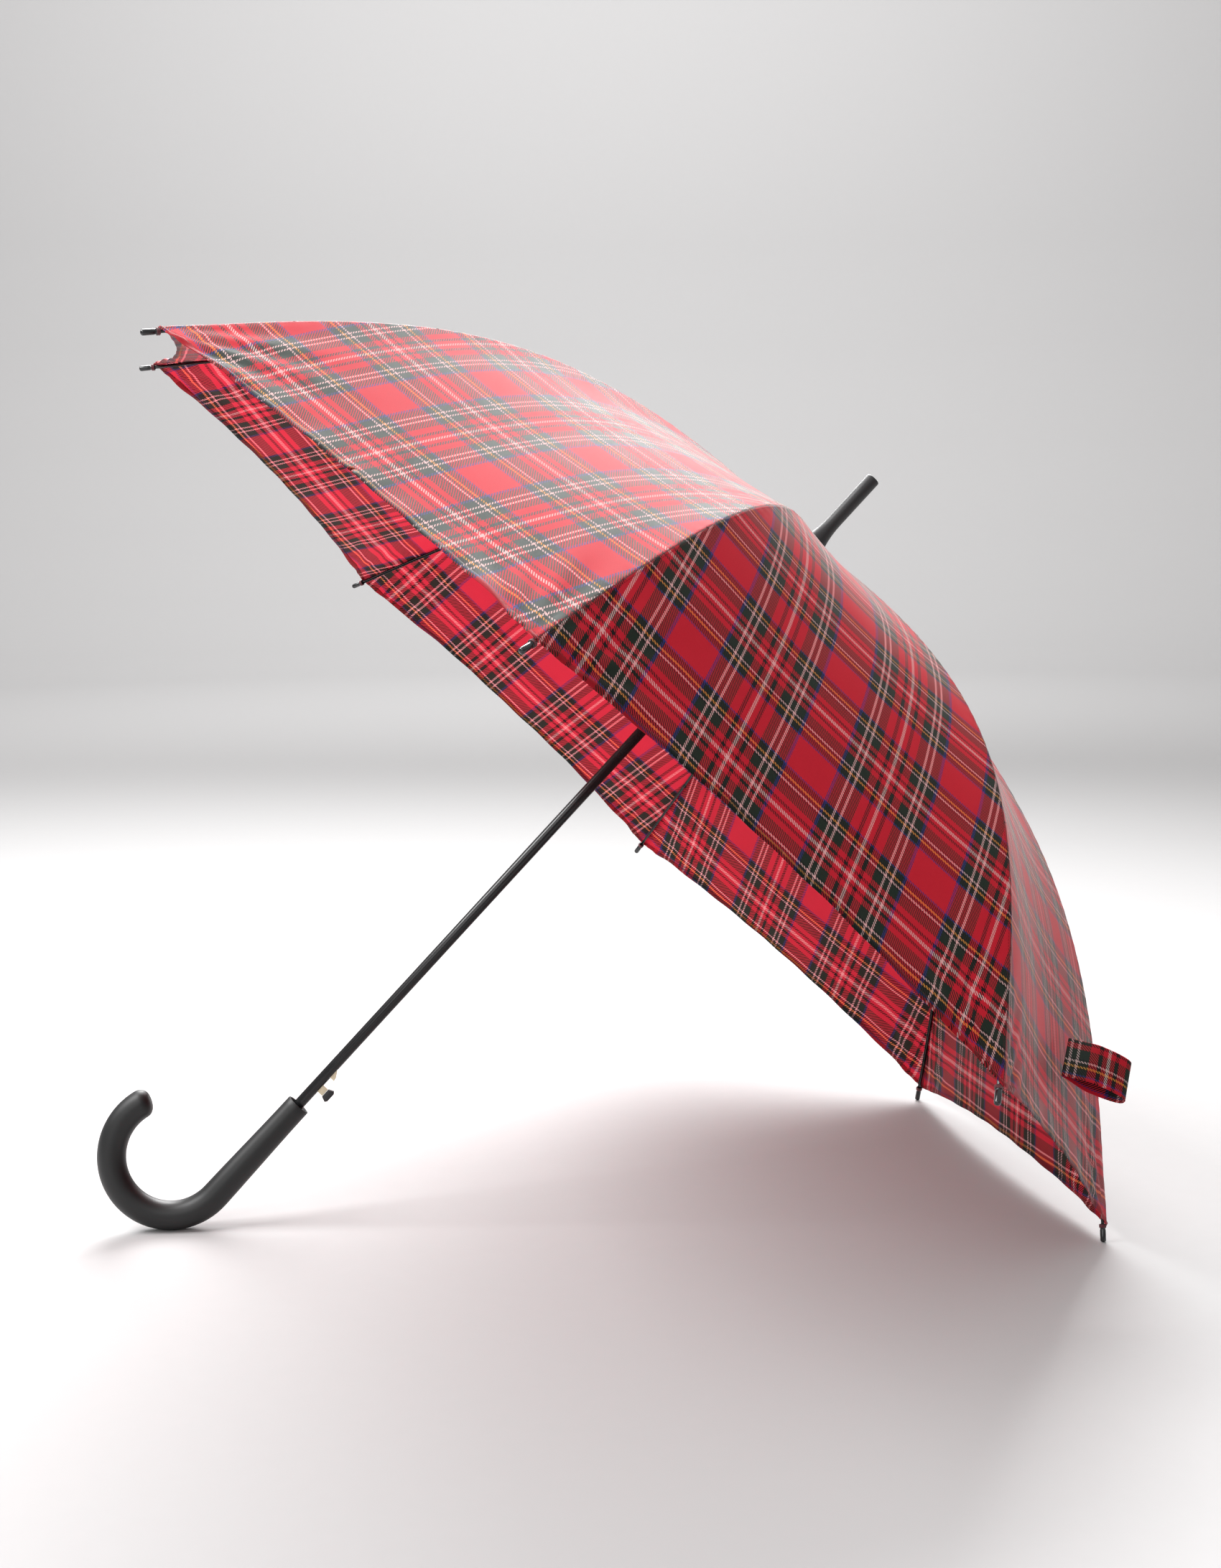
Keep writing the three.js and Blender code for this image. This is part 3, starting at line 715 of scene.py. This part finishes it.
class RibLine:
    """The rib's centre line in its own plane, by length from the pivot."""

    def __init__(self, size):
        self.length = size.rib_length
        behind, beyond, samples = 12 * MM, 4 * MM, 1600
        self.s = np.linspace(-behind, self.length + beyond, samples)
        share = np.clip(self.s / self.length, 0, 1)
        peak = size.bend_peak
        bent = np.where(share < peak, share ** 2 / peak, 1 - (1 - share) ** 2 / (1 - peak))
        self.slopes = size.start_slope + size.rib_turn * bent
        step = self.s[1] - self.s[0]
        between = (self.slopes[1:] + self.slopes[:-1]) / 2
        out = np.concatenate([[0], np.cumsum(np.cos(between)) * step])
        down = np.concatenate([[0], np.cumsum(np.sin(between)) * step])
        self.out = out - np.interp(0, self.s, out) + PIVOT_RADIUS
        self.up = np.interp(0, self.s, down) - down
        middle = self.out * math.cos(HALF_GORE)
        rows = np.concatenate([[0], np.cumsum(np.hypot(np.diff(middle), np.diff(self.up)))])
        self.rows = rows - np.interp(0, self.s, rows)

    def at(self, s, lift=0.0):
        """Distance out, height and slope of the line, moved by lift square to it."""
        slope = np.interp(s, self.s, self.slopes)
        out = np.interp(s, self.s, self.out) + lift * np.sin(slope)
        return out, np.interp(s, self.s, self.up) + lift * np.cos(slope), slope

    def row(self, s):
        """How far down the middle of a gore the row of cloth at s is."""
        return np.interp(s, self.s, self.rows)


class Canopy:
    """Places points of the cloth: s along the rib, across from 0 on a rib to 1 in mid-gore."""

    def __init__(self, size):
        self.size = size
        self.rib = RibLine(size)

    def hem(self, across):
        """How far along the rib the cloth ends."""
        size = self.size
        return size.rib_length - size.hem_edge - size.scallop * (1 - (1 - across) ** 2)

    def half_width(self, s):
        """From a rib to mid-gore."""
        return self.rib.at(s)[0] * math.sin(HALF_GORE)

    def beside(self, s, across, side, out=0.0):
        """Out, round and up from the crown, for points on one side of a spoke."""
        size = self.size
        length = size.rib_length
        crown = (size.crown_lift - size.lift) * (1 - smooth(s, 9 * MM, 42 * MM))
        tip = (size.tip_lift - size.lift) * smooth(s, length - 60 * MM, length - 18 * MM)
        share = np.clip(s / length, 0, 1)
        dip = size.sag * 3 * share * (1 - 0.75 * share) * (1 - (1 - across) ** 2)
        radius, height, _ = self.rib.at(s, size.lift + crown + tip + out - dip)
        reach = radius * math.sin(HALF_GORE) * across
        return radius - reach * math.sin(HALF_GORE), side * reach * math.cos(HALF_GORE), height

    def place(self, k, s, across, side, out=0.0):
        """The same points in the row frame."""
        parts = np.stack(self.beside(s, across, side, out), -1)
        basis = np.array([OUT[k], ROUND[k], UP])
        return np.array(CROWN) + parts @ basis

    @staticmethod
    def gore(k, side):
        """The gore on one side of a spoke, counted by the spoke that it starts at."""
        return np.where(side > 0, k, (k - 2) % 8 + 1)

    def cloth_map(self, k, s, across, side):
        """Where points are on their gore: across it from its middle, and down it."""
        x = -side * self.half_width(s) * (1 - across)
        shift = np.vectorize(GORE_SHIFT.get)(self.gore(k, side))
        return np.stack([x - shift, self.rib.row(s) + CLOTH_SHIFT], -1)

    def relief(self, k, s, across, side):
        """Small waves: puckers along the seams, tension folds at the tips, and slack between."""
        half = self.half_width(s)
        offset = half * across
        gore = self.gore(k, side)
        x = -side * half * (1 - across)
        to_hem = self.hem(across) - s
        pucker = 0.22 * MM * np.exp(-((offset / (7 * MM)) ** 2)) * np.sin(s / (2.3 * MM) + gore)
        pucker = pucker * smooth(s, 40 * MM, 90 * MM) * smooth(offset, 0, 2.5 * MM)
        down = np.maximum(self.size.rib_length - s, 1 * MM)
        reach = np.hypot(offset, down)
        angle = np.arctan2(offset, down)
        fading = np.exp(-(((reach - 45 * MM) / (60 * MM)) ** 2))
        folds = 0.9 * MM * np.sin(angle * 16 + gore * 1.7) * fading
        folds = folds * smooth(offset, 0, 16 * MM) * smooth(half - offset, 0, 60 * MM)
        hem = 0.45 * MM * np.sin(x / (7.5 * MM) + gore) * np.exp(-((to_hem / (14 * MM)) ** 2))
        hem = hem * smooth(offset, 0, 20 * MM)
        slack = np.zeros(np.shape(s))
        weight = smooth(offset, 0, 45 * MM) * smooth(s, 60 * MM, 160 * MM)
        for index in np.ndindex(slack.shape):
            if weight[index] > 0:
                spot = Vector((x[index] * 9, s[index] * 5, float(gore[index]) * 3.1))
                slack[index] = noise.noise(spot) * 1.6 * MM * weight[index]
        return pucker + folds + hem + slack


def section_columns(canopy, columns):
    """Shares of the way to mid-gore, closer together at the seam, and the half width at the rim."""
    rim = canopy.half_width(canopy.size.rib_length)
    near = [0, 0.5 * MM, 1.2 * MM, 2.2 * MM, 3.6 * MM, 5.6 * MM]
    rest = np.linspace(8.5 * MM, rim, columns - len(near) + 1)
    return np.concatenate([near, rest]) / rim, rim


def canopy_section(canopy, k):
    """The cloth from one mid-gore to the next, sewn down the rib between them."""
    size = canopy.size
    shares, rim = section_columns(canopy, size.columns)
    signed = np.concatenate([-shares[:0:-1], shares])
    side = np.where(signed < 0, -1, 1)
    rim_share = np.abs(signed)
    down = np.linspace(0, 1, size.rows + 1) ** 1.12
    s = size.cloth_start + (canopy.hem(rim_share)[None, :] - size.cloth_start) * down[:, None]
    side = np.broadcast_to(side, s.shape)
    half = canopy.half_width(s)
    even = np.broadcast_to(rim_share, s.shape)
    fixed = rim_share * rim / half
    beside_seam = np.minimum(fixed, even + (fixed - even) * smooth(half, 8 * MM, 30 * MM))
    across = np.where(rim_share * rim < SEAM_BAND, beside_seam, even)
    groove = -0.35 * MM * np.exp(-((half * across / (0.7 * MM)) ** 2)) * smooth(s, 40 * MM, 70 * MM)
    out = size.cloth_room + canopy.relief(k, s, across, side) + groove
    points = canopy.place(k, s, across, side, out).reshape(-1, 3)
    cloth = canopy.cloth_map(k, s, across, side).reshape(-1, 2)
    edges = np.stack([half * across, canopy.hem(across) - s], -1).reshape(-1, 2)
    rows, columns = s.shape
    faces = [face[::-1] for face in grid_faces(rows, columns)]
    piece = mesh_piece(f"canopy_cloth_{k}", points, faces, {"Cloth": cloth, "Edges": edges})
    apply_modifier(piece, "SOLIDIFY", thickness=size.cloth_thickness, offset=-1)
    shade(piece, 60)
    return piece


def rolled_hem(canopy, k):
    """The hem: the cloth rolled over into a flat tube along the rim."""
    size = canopy.size
    signed = np.linspace(-1, 1, 81)
    side = np.where(signed < 0, -1, 1)[:, None]
    across = np.abs(signed)[:, None]
    turn = np.linspace(0, 2 * math.pi, 14, endpoint=False)[None, :]
    taper = 0.45 + 0.55 * smooth(across, 0, 0.08)
    middle = canopy.hem(across) - size.hem_width * 0.42
    s = middle + size.hem_width / 2 * np.cos(turn) * taper
    side = np.broadcast_to(side, s.shape)
    across = np.broadcast_to(across, s.shape)
    half_thickness, sunk = 0.62 * MM, 0.1 * MM
    out = size.cloth_room - sunk + half_thickness * np.sin(turn) + canopy.relief(k, s, across, side)
    points = canopy.place(k, s, across, side, out).reshape(-1, 3)
    cloth = canopy.cloth_map(k, s, across, side).reshape(-1, 2)
    edges = np.stack([np.full(s.shape, 0.05), canopy.hem(across) - s], -1).reshape(-1, 2)
    rows, columns = s.shape
    faces = grid_faces(rows, columns, closed=True)
    faces += [tuple(range(columns))[::-1], tuple((rows - 1) * columns + j for j in range(columns))]
    piece = mesh_piece(f"rolled_hem_{k}", points, faces, {"Cloth": cloth, "Edges": edges})
    face_outwards(piece)
    return piece


def fold_with_rib(piece):
    """Gives a piece of cloth its own copy of its mesh."""
    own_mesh(piece)


# ---- Small rings of thread ----
def thread_ring(matrix, radius, thickness, squeeze=1.0):
    """A ring of thread round the Z axis of matrix."""
    pick_nothing()
    bpy.ops.mesh.primitive_torus_add(
        major_radius=radius, minor_radius=thickness, major_segments=20, minor_segments=6)
    ring = bpy.context.object
    ring.matrix_world = matrix @ Matrix.Diagonal((1, squeeze, 1, 1))
    bpy.ops.object.transform_apply(location=True, rotation=True, scale=True)
    return ring


def rib_frame(canopy, k, s, lift=0.0):
    """A place on the rib, with Z along it towards the tip, X up from it and Y round the shaft."""
    out, up, slope = canopy.rib.at(s, lift)
    origin = CROWN + OUT[k] * float(out) + UP * float(up)
    along = OUT[k] * math.cos(slope) - UP * math.sin(slope)
    square = OUT[k] * math.sin(slope) + UP * math.cos(slope)
    return axes(square, along.cross(square), along, origin)


def joined(pieces, name):
    pick_only(pieces[0])
    for piece in pieces:
        piece.select_set(True)
    bpy.ops.object.join()
    return settle(bpy.context.object, name)


def rib_ties(canopy, k):
    """Loops of thread that tie the cloth to its rib."""
    length = canopy.size.rib_length
    radius, thickness, apart, lift = 1.9 * MM, 0.24 * MM, 0.45 * MM, 0.3 * MM
    rings = []
    for share in (0.28, 0.64, 0.82):
        for shift in (-apart, apart):
            place = rib_frame(canopy, k, share * length + shift, lift)
            rings.append(thread_ring(place, radius, thickness, squeeze=0.95))
    return joined(rings, f"rib_ties_{k}")


def tip_binding(canopy, k):
    """Turns of thread that bind the corner of the cloth to the tip cap."""
    start = canopy.size.rib_length - 13.4 * MM
    radius, thickness, pitch, turns = 2.62 * MM, 0.27 * MM, 0.5 * MM, 5
    rings = [
        thread_ring(rib_frame(canopy, k, start + turn * pitch), radius, thickness)
        for turn in range(turns)]
    return joined(rings, f"tip_binding_{k}")


# ---- The closing strap ----
# Its lean and the line of its edge are shares of outwards, towards mid-gore and down the gore.
STRAP = {
    "at": 0.835, "across": 0.84, "width": 34 * MM, "reach": 50 * MM, "depth": 15 * MM,
    "stand_off": 4.5 * MM, "lean": (0.81, -0.48, 0.31), "edge": (-0.12, 0.42, 0.92),
}


def strap_axes(canopy):
    """The strap's own axes: X leans out from the cloth, Y is through its loop, Z down the gore."""
    at = STRAP["at"] * canopy.size.rib_length
    beside, lift = STRAP["across"], canopy.size.cloth_room

    def point(s, across):
        return Vector(canopy.place(4, s, across, -1, lift))

    root = point(at, beside)
    down = (point(at + 1 * MM, beside) - root).normalized()
    to_middle = (point(at, beside + 0.01) - root).normalized()
    outwards = to_middle.cross(down).normalized()
    if outwards.dot(OUT[4]) < 0:
        outwards.negate()
    leaning, edge = (
        (out * outwards + middle * to_middle + along * down).normalized()
        for out, middle, along in (STRAP["lean"], STRAP["edge"]))
    sideways = edge.cross(leaning).normalized()
    return axes(leaning, sideways, leaning.cross(sideways), root + outwards * STRAP["stand_off"])


def strap_band(canopy):
    """A band of the canopy's cloth, sewn on at one end and folded back in a loose loop."""
    reach, depth, width = STRAP["reach"], STRAP["depth"], STRAP["width"]
    turn = np.linspace(0, 2 * math.pi, 97)[:-1]
    out = reach / 2 * (1 - np.sign(np.cos(turn)) * np.abs(np.cos(turn)) ** 0.9)
    through = depth / 2 * np.sign(np.sin(turn)) * np.abs(np.sin(turn)) ** 0.8
    through = through * (0.35 + 0.65 * smooth(out, 0, reach * 0.5))
    length = np.concatenate([[0], np.cumsum(np.hypot(np.diff(out), np.diff(through)))])
    across = np.linspace(-width / 2, width / 2, 25)
    matrix = np.array(strap_axes(canopy))
    points, cloth, edges = [], [], []
    for x, y, run in zip(out, through, length):
        for z in across:
            ripple = 0.35 * MM * math.sin(run / (9 * MM)) * math.cos(z / (11 * MM))
            local = np.array([x, y + ripple, z + 0.6 * MM * math.sin(run / (16 * MM)), 1])
            points.append((matrix @ local)[:3])
            cloth.append((run - 0.032, z + 0.021))
            edges.append((0.05, width / 2 - abs(z)))
    faces = []
    count = len(across)
    for i in range(len(turn)):
        here, onwards = i * count, (i + 1) % len(turn) * count
        for j in range(count - 1):
            faces.append((here + j, onwards + j, onwards + j + 1, here + j + 1))
    piece = mesh_piece("closing_strap_cloth", points, faces, {"Cloth": cloth, "Edges": edges})
    face_outwards(piece)
    apply_modifier(piece, "SOLIDIFY", thickness=0.9 * MM, offset=-1)
    apply_modifier(
        piece, "BEVEL", width=0.2 * MM, segments=2, limit_method="ANGLE",
        angle_limit=math.radians(60))
    return piece


# ---- Operators: one for each piece or group of like pieces ----
class UMBRELLA_OT_canopy(bpy.types.Operator):
    """Sews the canopy: cloth on each rib, its rolled hem, and the threads that hold it"""

    bl_idname = "umbrella.canopy"
    bl_label = "Canopy"

    def execute(self, context):
        canopy = Canopy(sizes())
        size = canopy.size
        width = 2 * canopy.half_width(size.rib_length - size.hem_edge)
        for k in SPOKES:
            cloth = finish_piece(
                canopy_section(canopy, k), f"rib_{k}", "tartan_cloth", replaces=[f"canopy_section_{k}"])
            hem = finish_piece(rolled_hem(canopy, k), f"rib_{k}", "tartan_hem")
            ties = finish_piece(rib_ties(canopy, k), f"rib_{k}", "sewing_thread")
            binding = finish_piece(tip_binding(canopy, k), f"rib_{k}", "sewing_thread")
            shade(ties)
            shade(binding)
            fold_with_rib(cloth)
            fold_with_rib(hem)
        return {"FINISHED"}


class UMBRELLA_OT_strap(bpy.types.Operator):
    """Makes the closing strap and the pad that it closes with"""

    bl_idname = "umbrella.strap"
    bl_label = "Closing strap"

    def execute(self, context):
        canopy = Canopy(sizes())
        strap = finish_piece(strap_band(canopy), "rib_4", "tartan_cloth", replaces=["closing_strap"])
        pad = dressed("strap_fastener", "strap_hook_pad", "hook_pad")
        fold_with_rib(strap)
        fold_with_rib(pad)
        return {"FINISHED"}


class UMBRELLA_OT_ribs(bpy.types.Operator):
    """Finishes the ribs, their joints and the stretchers, and turns the tip caps"""

    bl_idname = "umbrella.ribs"
    bl_label = "Ribs, stretchers and tips"

    def execute(self, context):
        canopy = Canopy(sizes())
        for k in SPOKES:
            dressed(f"rib_{k}", f"steel_rib_{k}", "black_enamel")
            dressed(f"rib_joint_{k}", f"rib_clip_{k}", "black_enamel", bevel=0.06 * MM)
            dressed(f"stretcher_{k}", f"steel_stretcher_{k}", "black_enamel")
            self.tip_cap(canopy, k)
        return {"FINISHED"}

    @staticmethod
    def tip_cap(canopy, k):
        outer, bore, floor = 2.3 * MM, 1.75 * MM, 4 * MM
        length = 14 * MM
        turning = Turning(bore, floor, sides=28).to(bore, length).to(outer - 0.15 * MM, length)
        turning.to(outer, length - 0.15 * MM).to(outer, length - 3 * MM)
        turning.to(outer - 0.25 * MM, length - 3.4 * MM).to(outer - 0.2 * MM, length - 4.2 * MM)
        turning.to(outer, length - 4.6 * MM).to(outer, outer * 0.8)
        for angle in (15, 30, 45, 60, 72, 82):
            lean = math.radians(angle)
            turning.to(outer * math.cos(lean), outer * 0.8 * (1 - math.sin(lean)))
        place = rib_frame(canopy, k, canopy.size.rib_length) @ Matrix.Rotation(math.pi, 4, "X")
        cap = turning.done(f"gloss_tip_{k}", place)
        finish_piece(cap, f"rib_{k}", "gloss_black_plastic", replaces=[f"tip_cap_{k}"])


class UMBRELLA_OT_shaft(bpy.types.Operator):
    """Finishes the shaft with its crown, runner and spring, and turns the ferrule"""

    bl_idname = "umbrella.shaft"
    bl_label = "Shaft, crown and runner"

    def execute(self, context):
        dressed("shaft", "steel_shaft", "black_enamel", bevel=0.15 * MM)
        dressed("runner_stop", "stop_ring", "black_enamel")
        dressed("crown_notch", "moulded_crown", "black_plastic", bevel=0.15 * MM)
        dressed("crown_rosette", "rosette_guard", "black_plastic", bevel=0.08 * MM)
        dressed("runner", "moulded_runner", "black_plastic", bevel=0.15 * MM)
        for node in ("crown_wire", "runner_wire", "opening_spring"):
            dressed(node, f"bright_{node}", "spring_steel", bevel=0, angle=75)
        self.ferrule()
        return {"FINISHED"}

    @staticmethod
    def ferrule():
        base, top, bore, socket = 5.7 * MM, 78.7 * MM, 4.8 * MM, 38 * MM
        flare, stem, rounding = 8.9 * MM, 6.1 * MM, 1.2 * MM
        foot, flared, taper = 1.4 * MM, 22 * MM, 0.4 * MM
        turning = Turning(bore, socket, sides=56).to(bore, base).to(flare - 0.3 * MM, base)
        turning.to(flare, base + 0.3 * MM).to(flare, base + foot)
        for step in range(1, 13):
            share = step / 12
            left = 1 - share
            turning.to(
                stem + taper * left + (flare - stem - taper) * left ** 2.2,
                base + foot + flared * share)
        turning.to(stem, top - rounding - 20 * MM).to(stem, top - rounding)
        for angle in (20, 40, 60, 80, 90):
            lean = math.radians(angle)
            turning.to(
                stem - rounding * (1 - math.cos(lean)), top - rounding * (1 - math.sin(lean)))
        turning.to(stem - rounding - 0.5 * MM, top).to(stem - rounding - 0.8 * MM, top - 0.15 * MM)
        cap = turning.done("moulded_ferrule", ALONG_SHAFT)
        finish_piece(cap, "root", "black_plastic", replaces=["ferrule"])


class UMBRELLA_OT_handle(bpy.types.Operator):
    """Models the crook, and finishes the collar, catch and button"""

    bl_idname = "umbrella.handle"
    bl_label = "Handle and catch"

    def execute(self, context):
        self.crook()
        dressed("grip_collar", "inner_collar", "black_plastic", bevel=0.2 * MM)
        dressed("latch_lever", "nylon_catch", "cream_plastic", bevel=0.18 * MM)
        dressed("button_cap", "push_button", "black_plastic", bevel=0.15 * MM)
        dressed("latch_spring", "bright_latch_spring", "spring_steel", bevel=0)
        return {"FINISHED"}

    @staticmethod
    def crook():
        top, straight, radius, sweep = -624 * MM, 98 * MM, 48 * MM, math.radians(206)
        mouth, recess, thin, thick, rounding = 8.2 * MM, 14 * MM, 10.1 * MM, 11.6 * MM, 8 * MM
        turning = Turning(mouth, top - recess, sides=56).to(mouth, top - 0.5 * MM)
        turning.to(mouth + 0.4 * MM, top)
        turning.to(thin - 0.5 * MM, top).to(thin - 0.15 * MM, top - 0.15 * MM)
        turning.to(thin, top - 0.5 * MM)

        def tube(s):
            return float(thin + (thick - thin) * smooth(s, 0, 110 * MM))

        rings = 18
        for step in range(1, rings + 1):
            s = straight * step / rings
            turning.to(tube(s), top - s)
        middle = Vector((radius, 0, top - straight))
        round_share = rounding / radius
        steps = 48
        for step in range(1, steps + 1):
            angle = (sweep - round_share) / steps
            turning.around(tube(straight + angle * step * radius), -angle, middle)
        past = 0.0
        for angle in (12, 24, 36, 48, 60, 72, 82, 90):
            lean = math.radians(angle)
            now = round_share * math.sin(lean)
            turning.around(thick - rounding * (1 - math.cos(lean)), past - now, middle)
            past = now
        grip = turning.done("crook_grip", ALONG_SHAFT @ Matrix.Rotation(math.radians(-12), 4, "Z"))
        finish_piece(grip, "root", "soft_touch_black", replaces=["handle_grip"])


class UMBRELLA_OT_stage(bpy.types.Operator):
    """Sets the floor, the lights and the camera"""

    bl_idname = "umbrella.stage"
    bl_label = "Stage"

    def execute(self, context):
        self.floor()
        self.lights(context.scene)
        self.camera(context.scene)
        return {"FINISHED"}

    @staticmethod
    def floor():
        """A round floor that curves up into a wall, open at the top."""
        flat, bend, height = 5.5, 1.6, 3.4
        pick_nothing()
        turning = Turning(flat, 0, sides=128)
        for angle in (15, 30, 45, 60, 75, 90):
            lean = math.radians(angle)
            turning.to(flat + bend * math.sin(lean), bend * (1 - math.cos(lean)))
        turning.to(flat + bend, height)
        bpy.ops.mesh.delete(type="ONLY_FACE")
        bpy.ops.mesh.select_all(action="SELECT")
        bpy.ops.mesh.normals_make_consistent(inside=True)
        bpy.ops.object.mode_set(mode="OBJECT")
        floor = settle(turning.piece, "stage_floor")
        shade(floor, 60)
        floor.data.materials.append(material("stage_paper"))

    @staticmethod
    def lights(scene):
        world = bpy.data.worlds.new("studio")
        world.use_nodes = True
        sky = world.node_tree.nodes["Background"]
        sky.inputs["Color"].default_value = (1, 0.985, 0.98, 1)
        sky.inputs["Strength"].default_value = 0.68
        scene.world = world
        scene.view_settings.view_transform = "Standard"
        # Each lamp's name, place, width, power, target and the spread of its beam in degrees.
        for name, place, width, power, target, spread in (
            ("key", (-2.2, 0.1, 2.9), 1.8, 138, (-0.1, 0, 0.4), 180),
            ("back", (0.5, 2.5, 2.8), 2.8, 84, (-0.2, 0, 0.6), 80),
            ("backdrop", (0.8, 4.1, 3.2), 3.0, 125, (1.2, 7.0, 1.0), 180),
            ("front", (-2.2, -3.0, 2.2), 2.4, 40, (0.1, 0, 0.3), 180),
        ):
            data = bpy.data.lights.new(name, "AREA")
            data.size = width
            data.energy = power
            data.spread = math.radians(spread)
            lamp = bpy.data.objects.new(name, data)
            lamp.location = place
            aim = Vector(target) - Vector(place)
            lamp.rotation_euler = aim.to_track_quat("-Z", "Y").to_euler()
            lamp.visible_camera = False
            scene.collection.objects.link(lamp)

    @staticmethod
    def camera(scene):
        place = Vector((-0.3427, -1.7439, 0.5853))
        heading, pitch, lean = (math.radians(x) for x in (12.242, 4.716, 0.642))
        ahead = Vector((
            math.sin(heading) * math.cos(pitch), math.cos(heading) * math.cos(pitch),
            -math.sin(pitch)))
        right = ahead.cross(Vector((0, 0, 1))).normalized()
        above = right.cross(ahead)
        up = above * math.cos(lean) + right * math.sin(lean)
        data = bpy.data.cameras.new("camera")
        data.sensor_width = 36
        data.lens = 49.79
        data.shift_y = -0.0687
        data.clip_start = 0.05
        camera = bpy.data.objects.new("camera", data)
        camera.matrix_world = axes(ahead.cross(up), up, -ahead, place)
        scene.collection.objects.link(camera)
        scene.camera = camera


OPERATORS = [
    UMBRELLA_OT_stage, UMBRELLA_OT_shaft, UMBRELLA_OT_handle, UMBRELLA_OT_ribs,
    UMBRELLA_OT_canopy, UMBRELLA_OT_strap,
]


class UMBRELLA_PT_pieces(bpy.types.Panel):
    """Lists the pieces in the sidebar"""

    bl_label = "Stick Umbrella"
    bl_space_type = "VIEW_3D"
    bl_region_type = "UI"
    bl_category = "Umbrella"

    def draw(self, context):
        for operator in OPERATORS:
            self.layout.operator(operator.bl_idname)
        for group in (context.scene.umbrella_sizes, context.scene.umbrella_colours):
            box = self.layout.box()
            for key in group.bl_rna.properties.keys():
                if key not in ("rna_type", "name"):
                    box.prop(group, key)


CLASSES = [UmbrellaSizes, UmbrellaColours, *OPERATORS, UMBRELLA_PT_pieces]


def register():
    for cls in CLASSES:
        bpy.utils.register_class(cls)
    bpy.types.Scene.umbrella_sizes = PointerProperty(type=UmbrellaSizes)
    bpy.types.Scene.umbrella_colours = PointerProperty(type=UmbrellaColours)


def unregister():
    del bpy.types.Scene.umbrella_colours
    del bpy.types.Scene.umbrella_sizes
    for cls in reversed(CLASSES):
        bpy.utils.unregister_class(cls)


def main():
    register()
    bpy.ops.umbrella.stage()
    bpy.ops.umbrella.shaft()
    bpy.ops.umbrella.handle()
    bpy.ops.umbrella.ribs()
    bpy.ops.umbrella.canopy()
    bpy.ops.umbrella.strap()
    pick_nothing()


if __name__ == "__main__":
    main()
